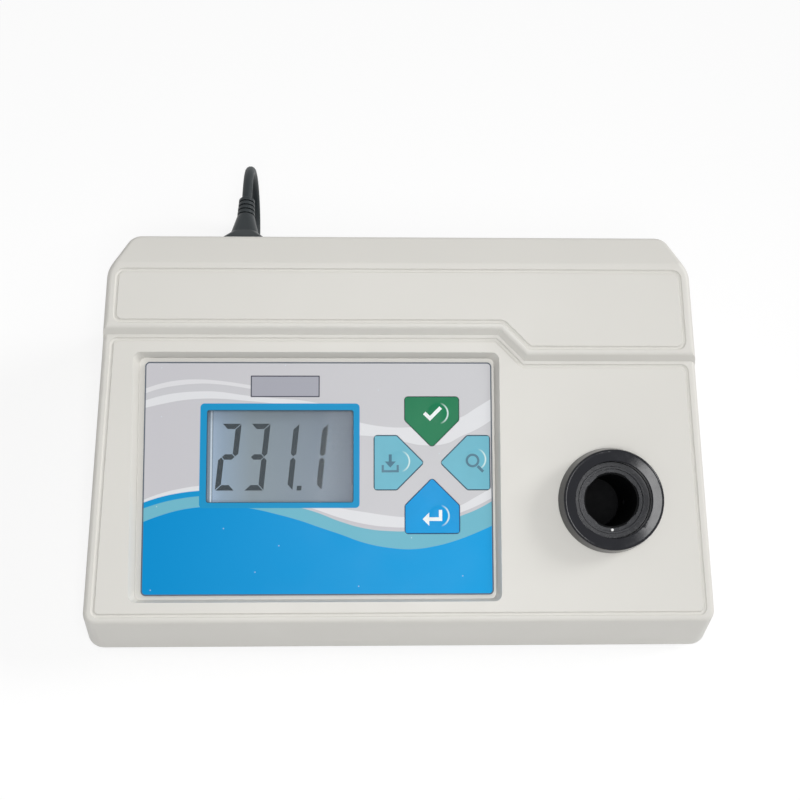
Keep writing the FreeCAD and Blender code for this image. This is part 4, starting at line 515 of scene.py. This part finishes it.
def below(tree, across, up, points):
    """1 below a printed edge that is given as a smooth curve across the face."""
    curve = add(tree, "ShaderNodeFloatCurve", {"Value": across})
    line = curve.mapping.curves[0]
    spots = [((x - BAND_LEFT) / (BAND_RIGHT - BAND_LEFT), w / BAND_RISE) for x, w in points]
    line.points[0].location, line.points[1].location = spots[0], spots[-1]
    for spot in spots[1:-1]:
        line.points.new(*spot)
    curve.mapping.update()
    gap = add(tree, "ShaderNodeMath", {0: curve, 1: up}, operation="SUBTRACT")
    return add(tree, "ShaderNodeMapRange", {"Value": gap, "From Min": -EDGE_BLUR / BAND_RISE,
                                            "From Max": EDGE_BLUR / BAND_RISE})


def between(tree, across, up, top, foot):
    """1 between two printed edges."""
    under = below(tree, across, up, top)
    over = below(tree, across, up, foot)
    return add(tree, "ShaderNodeMath", {0: under, 1: over}, operation="SUBTRACT", use_clamp=True)


def printed_film(look):
    """Polyester film printed on its underside: satin, with sharp bands of colour and a few dust specks,
    with painted shade that darkens it at the left and a ring of painted shade round the window.
    """
    material, tree, shader = finish("printed_polyester_film", IOR=1.57, Specular_IOR_Level=0.06)
    place = on_face(tree)
    parts = add(tree, "ShaderNodeSeparateXYZ", {0: place})
    x = parts.outputs[0]
    across = add(tree, "ShaderNodeMapRange", {"Value": x, "From Min": BAND_LEFT, "From Max": BAND_RIGHT})
    up = add(tree, "ShaderNodeMath", {0: parts.outputs[1], 1: BAND_RISE}, operation="DIVIDE")
    ground, white, teal = (*look.ground, 1), (*look.band, 1), (*look.teal, 1)
    layers = []
    for top, foot, side, end, colour in (
            (UPPER_BAND_FOOT, SECOND_BAND_TOP, "LESS_THAN", UPPER_BAND_END, paint("#CFCFD3")),
            (UPPER_BAND_TOP, UPPER_BAND_FOOT, "LESS_THAN", UPPER_BAND_END, paint("#E3E3E6")),
            (SECOND_BAND_TOP, SECOND_BAND_FOOT, "LESS_THAN", SECOND_BAND_END, white),
            (SWOOSH_TOP, SWOOSH_FOOT, "GREATER_THAN", SWOOSH_START, white)):
        beside = add(tree, "ShaderNodeMath", {0: x, 1: end}, operation=side)
        share = add(tree, "ShaderNodeMath", {0: between(tree, across, up, top, foot), 1: beside},
                    operation="MULTIPLY")
        layers.append((share, colour))
    right_part = add(tree, "ShaderNodeMath", {0: x, 1: STRIPE_CHANGE}, operation="GREATER_THAN")
    stripe = add(tree, "ShaderNodeMix", {0: right_part, 6: paint("#1298D4"), 7: paint("#CDCBD0")},
                 data_type="RGBA")
    # Painted shade and light: the blue is darker at the left and lighter at the right, as the light from
    # the right falls on it
    blue = add(tree, "ShaderNodeMix", {0: across, 6: paint("#0091D3"), 7: paint("#00A3E6")},
               data_type="RGBA")
    specks = add(tree, "ShaderNodeTexVoronoi", {"Vector": place, "Scale": 1 / SPECK_SPACING,
                                                "Randomness": 1.0}, voronoi_dimensions="2D")
    dust = add(tree, "ShaderNodeMapRange", {
        "Value": specks.outputs["Distance"], "From Min": SPECK_EDGE[0], "From Max": SPECK_EDGE[1],
        "To Min": 0.5, "To Max": 0.0})
    for edge, colour in ((WHITE_TOP, white), (STRIPE_TOP, stripe), (TEAL_TOP, teal), (BLUE_TOP, blue)):
        layers.append((below(tree, across, up, edge), colour))
    for box, corner, code in (
            (FRAME_BOX, FRAME_CORNER, "#1B96CC"),
            # Painted shade: a dark ring on the film round the display's window, where its cut edge casts
            # shade
            (grown(WINDOW_BOX, WINDOW_LINE), WINDOW_CORNER, "#3A5F74"),
            (PLATE_BOX, PLATE_CORNER, "#474854"),
            (grown(PLATE_BOX, -PLATE_LINE), PLATE_CORNER, "#ACADB7")):
        layers.append((in_box(tree, place, box, corner), paint(code)))
    layers.append((outline_of(tree, place, FILM_BOX, FILM_CORNER, FILM_LINE), paint("#5F6873")))
    layers.append((dust, paint("#DDEAF2")))
    # Painted shade and light: the film's grey is darker at the left and lighter at the right, as the light
    # from the right falls on it
    colour = add(tree, "ShaderNodeMix", {0: across, 6: paint("#CDCCD1"), 7: ground}, data_type="RGBA")
    for share, ink in layers:
        colour = add(tree, "ShaderNodeMix", {0: share, 6: colour, 7: ink}, data_type="RGBA")
    tree.links.new(colour.outputs[2], shader.inputs["Base Color"])
    relief(tree, shader, grain=1.4, depth=0.004)
    uneven_gloss(tree, shader, 0.36, patch=25.0)
    return material


def key_film(name, colour, line_colour):
    """Printed film of one key: lined at its edge, with a painted highlight in an arc on the right side of
    its bump.
    """
    material, tree, shader = finish("printed_key_" + name, IOR=1.57, Specular_IOR_Level=0.06)
    place = on_face(tree)
    bump = BUMPS[name]
    centre = (KEY_PAD[0] + bump[0], KEY_PAD[1] + bump[1], KEY_TOP)
    away = add(tree, "ShaderNodeVectorMath", {0: place, 1: centre}, operation="SUBTRACT")
    flat = add(tree, "ShaderNodeVectorMath", {0: away, 1: (1, 1, 0)}, operation="MULTIPLY")
    reach = add(tree, "ShaderNodeVectorMath", {0: flat}, operation="LENGTH")
    past = add(tree, "ShaderNodeMath", {0: reach.outputs["Value"], 1: ARC_RADIUS}, operation="SUBTRACT")
    off_ring = add(tree, "ShaderNodeMath", {0: past}, operation="ABSOLUTE")
    ring = add(tree, "ShaderNodeMapRange", {"Value": off_ring, "From Min": ARC_EDGE[0],
                                            "From Max": ARC_EDGE[1], "To Min": 1.0, "To Max": 0.0})
    side = add(tree, "ShaderNodeSeparateXYZ", {0: flat})
    facing = add(tree, "ShaderNodeMapRange", {"Value": side.outputs[0], "From Min": ARC_SIDE[0],
                                              "From Max": ARC_SIDE[1]})
    arc = add(tree, "ShaderNodeMath", {0: ring, 1: facing}, operation="MULTIPLY")
    base = drift(tree, (*colour, 1), patch=14.0, amount=0.03)
    # Painted highlight: the arc is painted pale where a light from the right would glint on the bump's edge
    arc_highlight = add(tree, "ShaderNodeMix", {0: arc, 6: base, 7: paint("#DDF0EE")}, data_type="RGBA")
    lined = add(tree, "ShaderNodeMix", {0: key_edge(tree, place, name), 6: arc_highlight,
                                        7: paint(line_colour)}, data_type="RGBA")
    tree.links.new(lined.outputs[2], shader.inputs["Base Color"])
    uneven_gloss(tree, shader, 0.32, patch=20.0)
    return material


def key_edge(tree, place, name):
    """1 on the line printed along the edge of a key with a pointed end."""
    turned = add(tree, "ShaderNodeMapping", {
        "Vector": place, "Location": (*KEY_PAD, 0), "Rotation": (0, 0, radians(KEY_TURNS[name]))},
        vector_type="TEXTURE")
    parts = add(tree, "ShaderNodeSeparateXYZ", {0: turned})
    aside = add(tree, "ShaderNodeMath", {0: parts.outputs[0]}, operation="ABSOLUTE")
    to_side = add(tree, "ShaderNodeMath", {0: KEY_HALF, 1: aside}, operation="SUBTRACT")
    to_end = add(tree, "ShaderNodeMath", {0: KEY_ENDS[name], 1: parts.outputs[1]}, operation="SUBTRACT")
    past_tip = add(tree, "ShaderNodeMath", {0: parts.outputs[1], 1: KEY_TIPS[name]}, operation="SUBTRACT")
    to_slant = add(tree, "ShaderNodeMath", {0: past_tip, 1: aside}, operation="SUBTRACT")
    to_slant = add(tree, "ShaderNodeMath", {0: to_slant, 1: sqrt(0.5)}, operation="MULTIPLY")
    nearest = add(tree, "ShaderNodeMath", {0: to_side, 1: to_end}, operation="MINIMUM")
    nearest = add(tree, "ShaderNodeMath", {0: nearest, 1: to_slant}, operation="MINIMUM")
    return add(tree, "ShaderNodeMapRange", {"Value": nearest, "From Min": KEY_LINE[0],
                                            "From Max": KEY_LINE[1], "To Min": 1.0, "To Max": 0.0})


# Pieces

def hank_points(diameter):
    """Corners of the lead's wound turns: two loops on the floor and two on top of them."""
    outer = HANK_MIDDLE - HANK_NEAR
    inner = outer - diameter
    low, high = HANK_LEVEL, HANK_LEVEL + diameter

    def steady(radius, level):
        return lambda share: (radius, level)

    def inwards(share):
        return inner + diameter * cos(share * pi / 2), low

    def upwards(share):
        return inner, low + diameter * sin(share * pi / 2)

    def outwards(share):
        return inner + diameter * sqrt(1 - (1 - sin(share * pi / 2)) ** 2), high

    half_turns = [steady(outer, low), inwards, steady(inner, low), upwards, steady(inner, high), outwards]
    step = pi / TURN_CORNERS
    angles = [0] + [(i + 0.5) * step for i in range(TURN_CORNERS)] + [pi]
    points = []
    for place, shape in enumerate(half_turns):
        side, x = ((1, HANK_RIGHT), (-1, HANK_LEFT))[place % 2]
        for angle in angles:
            radius, level = shape(angle / pi)
            reach = radius if angle in (0, pi) else radius / cos(step / 2)
            points.append((x + side * reach * sin(angle), HANK_MIDDLE - side * reach * cos(angle), level))
    points.append((HANK_RIGHT, HANK_NEAR, high))
    return points


class TESTER_OT_lead(bpy.types.Operator):
    """Lay the mains lead from its connector down behind the housing and into its tied hank"""
    bl_idname = "tester.lead"
    bl_label = "Mains lead"

    def execute(self, context):
        look = context.scene.tester_lead
        # Flexible PVC, extruded: nearly black, with a fine grain, and duller than the moulded ends
        sheath = moulded("pvc_sheath", look.colour, 0.5, patch=18.0, amount=0.08, grain=0.7, depth=0.01,
                         IOR=1.52, Specular_IOR_Level=0.3)
        curve = bpy.data.curves.new("mains_lead", "CURVE")
        curve.dimensions = "3D"
        curve.bevel_depth = look.diameter / 2
        curve.bevel_resolution = 5
        curve.resolution_u = 8
        curve.use_fill_caps = True
        spline = curve.splines.new("NURBS")
        points = LEAD_ROUTE + hank_points(look.diameter) + [PLUG_ENTRY]
        spline.points.add(len(points) - 1)
        for point, place in zip(spline.points, points):
            point.co = (*place, 1)
        spline.order_u = 3
        spline.use_endpoint_u = True
        lead = bpy.data.objects.new("mains_lead", curve)
        context.scene.collection.objects.link(lead)
        curve.materials.append(sheath)
        settle(lead, "housing")
        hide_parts("power_cord", "cord_hank", "cord_tail")
        # The same PVC moulded over the ends: smoother, with a soft sheen on its ribs
        ends = moulded("moulded_pvc_end", look.colour, 0.38, patch=20.0, amount=0.06, grain=0.5,
                       depth=0.004, IOR=1.52, Specular_IOR_Level=0.35)
        # Nylon strap: black, evenly satin
        strap = moulded("nylon_strap", linear("#1B1D20"), 0.45, grain=0.4, depth=0.01)
        # Brass, nickel plated: a warm silver with drawn streaks
        pins = plated("nickel_plated_brass", "#C9C2AE", 0.25)
        pieces = [skin("lead_connector", ends), skin("cord_tie", strap), skin("mains_plug", ends),
                  dress("plug_pins", pins)]
        return {"FINISHED"}


class TESTER_OT_housing(bpy.types.Operator):
    """Finish the moulded cover, the tray, the feet and their screws"""
    bl_idname = "tester.housing"
    bl_label = "Housing"

    def execute(self, context):
        look = context.scene.tester_housing
        # ABS from a spark-eroded mould: off-white and satin, with a grain that only shows close by
        cover = moulded("moulded_abs", look.colour, look.roughness, patch=70.0, amount=0.012, grain=0.7,
                        depth=0.005, IOR=1.54)
        skin("upper_cover", cover, COVER_ANGLE)
        # The same ABS from a coarser mould: greyer and duller
        tray = moulded("moulded_abs_tray", look.tray_colour, 0.6, patch=60.0, amount=0.03, grain=1.1,
                       depth=0.02, IOR=1.54)
        dress("base_tray", tray)
        # Nitrile rubber, moulded: matt and nearly black, greyed by dust
        skin("rubber_feet", moulded("moulded_rubber", linear("#232425"), 0.8, amount=0.15, grain=0.5,
                                    depth=0.02))
        # Steel, zinc plated: a cool silver with turned streaks
        zinc = plated("zinc_plated_steel", "#B9BCC0", 0.34)
        for name in ("cover_screws", "foot_screws", "inlet_screws"):
            skin(name, zinc)
        for name in ("board_screws", "block_screws", "transformer_screws", "power_board_screws"):
            dress(name, zinc)
        return {"FINISHED"}


class TESTER_OT_keypad(bpy.types.Operator):
    """Print the keypad's face, finish its keys and put the marks on them"""
    bl_idname = "tester.keypad"
    bl_label = "Keypad"

    def execute(self, context):
        look = context.scene.tester_keypad
        dress("keypad_overlay", printed_film(look))
        colours = {"top": look.green, "left": look.teal, "right": look.teal, "bottom": look.blue}
        lines = {"top": "#1C6A4A", "left": "#3F6D85", "right": "#3F6D85", "bottom": "#04649C"}
        keys = {name: skin("key_" + name, key_film(name, colour, lines[name]))
                for name, colour in colours.items()}
        # Polyester contact sheet: slate grey from the carbon print, seen as the line round each key
        circuit = moulded("polyester_contact_sheet", linear("#2C3F4C"), 0.5, grain=0.6, depth=0.004)
        dress("keypad_circuit", circuit)
        dress("keypad_tail", circuit)
        # Stainless spring steel, pressed: a bright neutral silver
        dress("key_domes", plated("spring_stainless_steel", "#C4C4C2", 0.22))
        # Screen ink: dense and slightly raised, white on the dark keys and slate on the pale ones
        white_ink = moulded("white_screen_ink", linear("#F0F6F6"), 0.5, amount=0.02, grain=0.3, depth=0.004)
        slate_ink = moulded("slate_screen_ink", linear("#3E7186"), 0.5, amount=0.03, grain=0.3, depth=0.004)
        for name, shapes in key_marks().items():
            dx, dw = MARK_SPOTS[name]
            start = face_matrix(KEY_PAD[0] + dx, KEY_PAD[1] + dw, KEY_TOP + MARK_START)
            ink = white_ink if name in ("top", "bottom") else slate_ink
            mark = as_one(shapes, "key_mark_" + name, start @ Matrix.Scale(MARK_SCALE, 4), ink)
            press_on(mark, keys[name])
            thicken(mark, MARK_THICKNESS)
            settle(mark, "key_" + name)
        return {"FINISHED"}


def key_marks():
    """Plain marks for the keys: a tick, an arrow into a tray, a lens and a return arrow."""
    tick = [(-3.6, 0.4), (-2.6, 1.4), (-0.9, -0.3), (2.9, 3.5), (3.9, 2.5), (-0.9, -2.3)]
    arrow = [(-0.6, 3.4), (0.6, 3.4), (0.6, 0.6), (2.2, 0.6), (0.0, -1.8), (-2.2, 0.6), (-0.6, 0.6)]
    tray = [(-3.4, -0.8), (-2.5, -0.8), (-2.5, -2.8), (2.5, -2.8), (2.5, -0.8), (3.4, -0.8),
            (3.4, -3.7), (-3.4, -3.7)]
    handle = [(1.1, -1.8), (1.9, -1.0), (4.1, -3.2), (3.3, -4.0)]
    hook = [(-4.0, -0.6), (-1.4, 2.0), (-1.4, 0.1), (2.4, 0.1), (2.4, 3.0), (3.7, 3.0), (3.7, -1.3),
            (-1.4, -1.3), (-1.4, -3.2)]
    turns = [2 * pi * i / LENS_SIDES for i in range(LENS_SIDES + 1)]
    rim = [(radius * cos(turn) + LENS_PLACE[0], radius * sin(turn) + LENS_PLACE[1])
           for radius, way in ((LENS_OUTSIDE, turns), (LENS_INSIDE, turns[::-1])) for turn in way]
    return {"top": [flat_shape(tick)], "left": [flat_shape(arrow), flat_shape(tray)],
            "right": [flat_shape(rim), flat_shape(handle)], "bottom": [flat_shape(hook)]}


class TESTER_OT_display(bpy.types.Operator):
    """Finish the display and show its reading"""
    bl_idname = "tester.display"
    bl_label = "Display"

    def execute(self, context):
        look = context.scene.tester_display
        # Acrylic pane: clear, thin and bright only where it mirrors a light
        dress("display_window", clear("clear_acrylic", "#AEBAC2", 0.06, IOR=1.49, Alpha=0.06))
        dress("lcd_glass", display_glass(look.colour))
        # Opal acrylic: milky white that spreads the light
        dress("backlight_plate", moulded("opal_acrylic", linear("#E9EEF0"), 0.4, amount=0.02))
        # Nylon, moulded: black and evenly satin
        dress("lcd_bezel", moulded("moulded_black_nylon", linear("#1A1B1D"), 0.5, amount=0.06))
        # Liquid crystal, switched on: slate, with a faint unevenness
        ink = moulded("liquid_crystal", linear("#1C282F"), 0.3, amount=0.05, grain=0.5, depth=0.0,
                      Specular_IOR_Level=0.1)
        place = 0
        shapes = []
        for sign in look.reading:
            left = DIGIT_RIGHT - DIGIT_WIDTH + place * DIGIT_PITCH
            if sign == ".":
                shapes.append(flat_shape(point_corners(left - DIGIT_PITCH + DIGIT_WIDTH + POINT_SPACE)))
                continue
            shapes += [flat_shape(segment_corners(which, left)) for which in SEGMENTS[sign]]
            place += 1
        middle = DIGIT_FOOT + DIGIT_HEIGHT / 2
        lean = Matrix(((1, DIGIT_LEAN, 0, -DIGIT_LEAN * middle), (0, 1, 0, 0), (0, 0, 1, 0), (0, 0, 0, 1)))
        digits = as_one(shapes, "reading", face_matrix(0, 0, LCD_TOP + DIGIT_LIFT) @ lean, ink)
        thicken(digits, DIGIT_THICKNESS)
        settle(digits, "housing")
        return {"FINISHED"}


def segment_corners(which, left):
    """Corners of a lit segment, a to g, of the digit whose left edge is given."""
    wide, half, stroke, gap = DIGIT_WIDTH, DIGIT_HEIGHT / 2, DIGIT_STROKE, DIGIT_GAP
    top = [(gap, half), (wide - gap, half), (wide - stroke - gap, half - stroke),
           (stroke + gap, half - stroke)]
    side = [(wide, half - gap), (wide - stroke, half - stroke - gap), (wide - stroke, stroke / 2 + gap),
            (wide - stroke / 2, gap), (wide, stroke / 2 + gap)]
    middle = [(stroke / 2 + gap, 0), (stroke + gap, stroke / 2), (wide - stroke - gap, stroke / 2),
              (wide - stroke / 2 - gap, 0), (wide - stroke - gap, -stroke / 2), (stroke + gap, -stroke / 2)]
    corners, mirrored, turned = {
        "a": (top, 1, 1), "b": (side, 1, 1), "c": (side, 1, -1), "d": (top, 1, -1), "e": (side, -1, -1),
        "f": (side, -1, 1), "g": (middle, 1, 1)}[which]
    centre = left + wide / 2
    return [(centre + mirrored * (x - wide / 2), DIGIT_FOOT + half + turned * y) for x, y in corners]


def point_corners(left):
    """Corners of the decimal point whose left edge is given."""
    right, top = left + POINT_SIZE, DIGIT_FOOT + POINT_SIZE
    return [(left, DIGIT_FOOT), (right, DIGIT_FOOT), (right, top), (left, top)]


def display_glass(colour):
    """Reflective liquid-crystal glass: grey, with a painted reflection and a painted glow at the left, and
    darker towards the right and the head.
    """
    material, tree, shader = finish("reflective_lcd_glass", IOR=1.52, Specular_IOR_Level=0.12)
    parts = add(tree, "ShaderNodeSeparateXYZ", {0: on_face(tree)})
    across = add(tree, "ShaderNodeMapRange", {"Value": parts.outputs[0], "From Min": WINDOW_BOX[0],
                                              "From Max": WINDOW_BOX[2]})
    ramp = add(tree, "ShaderNodeValToRGB", {0: across})
    stops = ramp.color_ramp.elements
    for stop, (position, code) in zip(stops, (GLASS_TONES[0], GLASS_TONES[-1])):
        stop.position, stop.color = position, paint(code)
    for position, code in GLASS_TONES[1:-1]:
        stops.new(position).color = paint(code) if code else (*colour, 1)
    level = add(tree, "ShaderNodeMapRange", {
        "Value": parts.outputs[1], "From Min": WINDOW_BOX[1], "From Max": WINDOW_BOX[3],
        "To Min": GLASS_FOOT, "To Max": GLASS_HEAD})
    shaded = add(tree, "ShaderNodeMix", {0: 1.0, 6: ramp.outputs[0], 7: level}, data_type="RGBA",
                 blend_type="MULTIPLY")
    tree.links.new(shaded.outputs[2], shader.inputs["Base Color"])
    uneven_gloss(tree, shader, 0.3, patch=30.0)
    return material


class TESTER_OT_well(bpy.types.Operator):
    """Finish the sample well: collar, guide ring, mark, chamber and optics"""
    bl_idname = "tester.well"
    bl_label = "Sample well"

    def execute(self, context):
        look = context.scene.tester_well
        # ABS from a polished mould: blue-black and glossy, with faint handling marks
        gloss = moulded("polished_black_abs", look.colour, 0.14, patch=12.0, amount=0.08, grain=3.0,
                        depth=0.002, IOR=1.5, Specular_IOR_Level=0.3)
        skin("well_collar", gloss)
        # Acetal, moulded: black with a soft waxy sheen
        waxy = moulded("moulded_acetal", linear("#1B1D23"), 0.26, patch=8.0, amount=0.08, grain=0.4,
                       depth=0.005, IOR=1.48, Specular_IOR_Level=0.4)
        skin("well_guide", waxy)
        # Marking paint, dabbed on: a dense matt white
        white = moulded("marking_paint", linear("#F4F4F2"), 0.5, amount=0.03, grain=0.3, depth=0.01)
        skin("index_mark", white)
        # Aluminium, bead blasted and black anodised: deep, dry and slightly metallic
        anodised = moulded("black_anodised_aluminium", linear("#07080A"), 0.6, patch=10.0, amount=0.1,
                           grain=0.3, depth=0.004, Specular_IOR_Level=0.08)
        skin("sample_chamber", anodised)
        dress("optical_block", anodised)
        # Nylon nut, moulded: black and dull
        dress("collar_nut", moulded("moulded_black_nut", linear("#1D1E20"), 0.5, amount=0.06))
        # Cast epoxy: clear as water, with a slight blur
        dress("led_lamp", clear("clear_epoxy", "#EAF1F4", 0.08, IOR=1.55, Transmission_Weight=0.9))
        # Optical glass, ground and polished: quite clear and bright
        lens = clear("optical_glass", "#F2F7F6", 0.03, IOR=1.52, Transmission_Weight=1.0)
        dress("collimating_lens", lens)
        # Coated glass: clear green
        pane = clear("coated_filter_glass", "#5F9F63", 0.05, IOR=1.52, Transmission_Weight=0.8)
        dress("colour_filter", pane)
        # Steel can, nickel plated: a warm silver
        dress("photodiode", plated("nickel_plated_can", "#BDB9AE", 0.3))
        return {"FINISHED"}


class TESTER_OT_rear(bpy.types.Operator):
    """Finish the inlet, the switch and the fuse holder on the rear wall"""
    bl_idname = "tester.rear"
    bl_label = "Rear fittings"

    def execute(self, context):
        # Glass-filled nylon: black, dull, with a fibrous grain
        nylon = moulded("glass_filled_nylon", linear("#1C1D1F"), 0.55, patch=9.0, amount=0.1, grain=0.5,
                        depth=0.01)
        for name in ("power_inlet", "switch_body", "fuse_holder", "fuse_cap"):
            skin(name, nylon)
        # Polycarbonate rocker: black, with more shine than the parts round it
        shiny = moulded("polycarbonate_rocker", linear("#131416"), 0.25, amount=0.06, grain=0.5,
                        depth=0.003, IOR=1.58)
        skin("switch_rocker", shiny)
        # Brass contacts, nickel plated: a warm silver
        dress("inlet_pins", plated("nickel_plated_contact", "#C8C0A6", 0.28))
        # Drawn glass tube: pale and half clear
        dress("fuse_link", clear("fuse_glass", "#E4EAE8", 0.08, IOR=1.5, Alpha=0.6))
        return {"FINISHED"}


class TESTER_OT_inside(bpy.types.Operator):
    """Finish the boards, the chips and the power supply inside"""
    bl_idname = "tester.inside"
    bl_label = "Inner pieces"

    def execute(self, context):
        for name in ("main_board", "detector_board", "power_board"):
            dress(name, board_laminate())
        # Filled epoxy, moulded: matt black
        chip = moulded("moulded_epoxy_chip", linear("#1B1B1D"), 0.6, grain=0.3, depth=0.01)
        dress("board_chips", chip)
        # Natural nylon: a creamy white
        dress("board_connectors", moulded("natural_nylon", linear("#E6E3D6"), 0.5, amount=0.04))
        # Silicon steel sheets, stacked and lacquered: a brown-black with fine lines at the edges
        core = striped("lacquered_laminations", "#2A2522", "#4A423C", 1.0, "Y", 0.45)
        dress("transformer_core", core)
        # Copper wire under varnished tape: amber turns
        dress("transformer_coil", striped("varnished_winding", "#A8652A", "#C98A45", 0.9, "Z", 0.35))
        # Capacitors in shrunk vinyl sleeves: navy blue with a soft sheen
        dress("power_board_parts", moulded("sleeved_capacitors", linear("#26324A"), 0.4, amount=0.1))
        return {"FINISHED"}


def board_laminate():
    """Glass-fibre board under green solder mask, with lighter lines where the copper tracks run."""
    material, tree, shader = finish("solder_mask_board", Roughness=0.35, Coat_Weight=0.3)
    tracks = add(tree, "ShaderNodeTexBrick", {
        "Vector": millimetres(tree), "Scale": 0.12, "Color1": paint("#1F5A38"),
        "Color2": paint("#1A4E30"), "Mortar": paint("#2F7A4C"), "Mortar Size": 0.03})
    tree.links.new(tracks.outputs[0], shader.inputs["Base Color"])
    relief(tree, shader, grain=0.5, depth=0.01)
    return material


class TESTER_OT_studio(bpy.types.Operator):
    """Set the camera, the floor and the soft lights"""
    bl_idname = "tester.studio"
    bl_label = "Studio"

    def execute(self, context):
        look = context.scene.tester_studio
        camera = bpy.data.objects.new("camera", bpy.data.cameras.new("camera"))
        context.scene.collection.objects.link(camera)
        camera.data.lens = CAMERA_LENS
        camera.matrix_world = (Matrix.Translation(CAMERA_PLACE) @ Matrix.Rotation(CAMERA_YAW, 4, "Z")
                               @ Matrix.Rotation(pi / 2 - CAMERA_PITCH, 4, "X")
                               @ Matrix.Rotation(CAMERA_ROLL, 4, "Z"))
        context.scene.camera = camera
        context.scene.view_settings.view_transform = "Standard"
        select_only()
        bpy.ops.mesh.primitive_plane_add(size=FLOOR_SIZE)
        floor = context.object
        floor.name = "floor"
        floor.data.materials.append(floor_paper())
        context.scene.world = even_sky(look.sky)
        side = bpy.data.lights.new("side_light", "SUN")
        side.energy = look.side_light
        side.angle = SUN_SPREAD
        place_light("side_light", side, SUN_PLACE, SUN_TARGET)
        top = bpy.data.lights.new("top_light", "AREA")
        top.energy = look.top_light
        top.shape = "RECTANGLE"
        top.size, top.size_y = PANEL_SIZE
        place_light("top_light", top, PANEL_PLACE, PANEL_TARGET)
        return {"FINISHED"}


def place_light(name, light, place, target):
    """Hang a light at one place and point it at another."""
    lamp = bpy.data.objects.new(name, light)
    bpy.context.scene.collection.objects.link(lamp)
    lamp.location = place
    lamp.rotation_euler = (Vector(target) - Vector(place)).to_track_quat("-Z", "Y").to_euler()


def seen_rays(tree):
    """1 for rays that show the background: those of the camera, of mirrors and of glass."""
    rays = add(tree, "ShaderNodeLightPath").outputs
    first = add(tree, "ShaderNodeMath", {0: rays["Is Camera Ray"], 1: rays["Is Glossy Ray"]},
                operation="MAXIMUM")
    return add(tree, "ShaderNodeMath", {0: first, 1: rays["Is Transmission Ray"]}, operation="MAXIMUM")


def floor_paper():
    """White studio paper: seen as white, with part of the object's soft shadow left on it."""
    material, tree, shader = finish("studio_paper", Roughness=0.9)
    grey = drift(tree, (PAPER_GREY, PAPER_GREY, PAPER_GREY, 1), patch=200.0, amount=0.01)
    tree.links.new(grey.outputs[2], shader.inputs["Base Color"])
    white = add(tree, "ShaderNodeEmission", {"Color": (1, 1, 1, 1), "Strength": PAPER_GLOW})
    paper = add(tree, "ShaderNodeBsdfDiffuse", {"Color": (1, 1, 1, 1)})
    shown = add(tree, "ShaderNodeMixShader", {0: SHADOW_SHARE, 1: white, 2: paper})
    seen = add(tree, "ShaderNodeMixShader", {0: seen_rays(tree), 1: shader, 2: shown})
    tree.links.new(seen.outputs[0], tree.nodes["Material Output"].inputs["Surface"])
    return material


def even_sky(level):
    """Even light from all round, with a white background behind it."""
    world = bpy.data.worlds.new("studio")
    world.use_nodes = True
    tree = world.node_tree
    strength = add(tree, "ShaderNodeMapRange", {"Value": seen_rays(tree), "To Min": level, "To Max": 1.0})
    background = tree.nodes["Background"]
    background.inputs["Color"].default_value = (1, 1, 1, 1)
    tree.links.new(strength.outputs[0], background.inputs["Strength"])
    return world


LOOKS = {"tester_lead": LeadLook, "tester_housing": HousingLook, "tester_keypad": KeypadLook,
         "tester_display": DisplayLook, "tester_well": WellLook, "tester_studio": StudioLook}
OPERATORS = [TESTER_OT_studio, TESTER_OT_lead, TESTER_OT_housing, TESTER_OT_keypad, TESTER_OT_display,
             TESTER_OT_well, TESTER_OT_rear, TESTER_OT_inside]


class TESTER_PT_panel(bpy.types.Panel):
    """List the looks and the operators in the sidebar"""
    bl_idname = "TESTER_PT_panel"
    bl_label = "Bench beer tester"
    bl_space_type = "VIEW_3D"
    bl_region_type = "UI"
    bl_category = "Tester"

    def draw(self, context):
        for name in LOOKS:
            look = getattr(context.scene, name)
            box = self.layout.box()
            for field in look.bl_rna.properties.keys():
                if field not in ("rna_type", "name"):
                    box.prop(look, field)
        for operator in OPERATORS:
            self.layout.operator(operator.bl_idname)


CLASSES = list(LOOKS.values()) + OPERATORS + [TESTER_PT_panel]


def register():
    for kind in CLASSES:
        bpy.utils.register_class(kind)
    for name, look in LOOKS.items():
        setattr(bpy.types.Scene, name, PointerProperty(type=look))


def unregister():
    for name in LOOKS:
        delattr(bpy.types.Scene, name)
    for kind in reversed(CLASSES):
        bpy.utils.unregister_class(kind)


def main():
    """Make every piece and the stage."""
    register()
    bpy.ops.tester.studio()
    bpy.ops.tester.lead()
    bpy.ops.tester.housing()
    bpy.ops.tester.keypad()
    bpy.ops.tester.display()
    bpy.ops.tester.well()
    bpy.ops.tester.rear()
    bpy.ops.tester.inside()


if __name__ == "__main__":
    main()
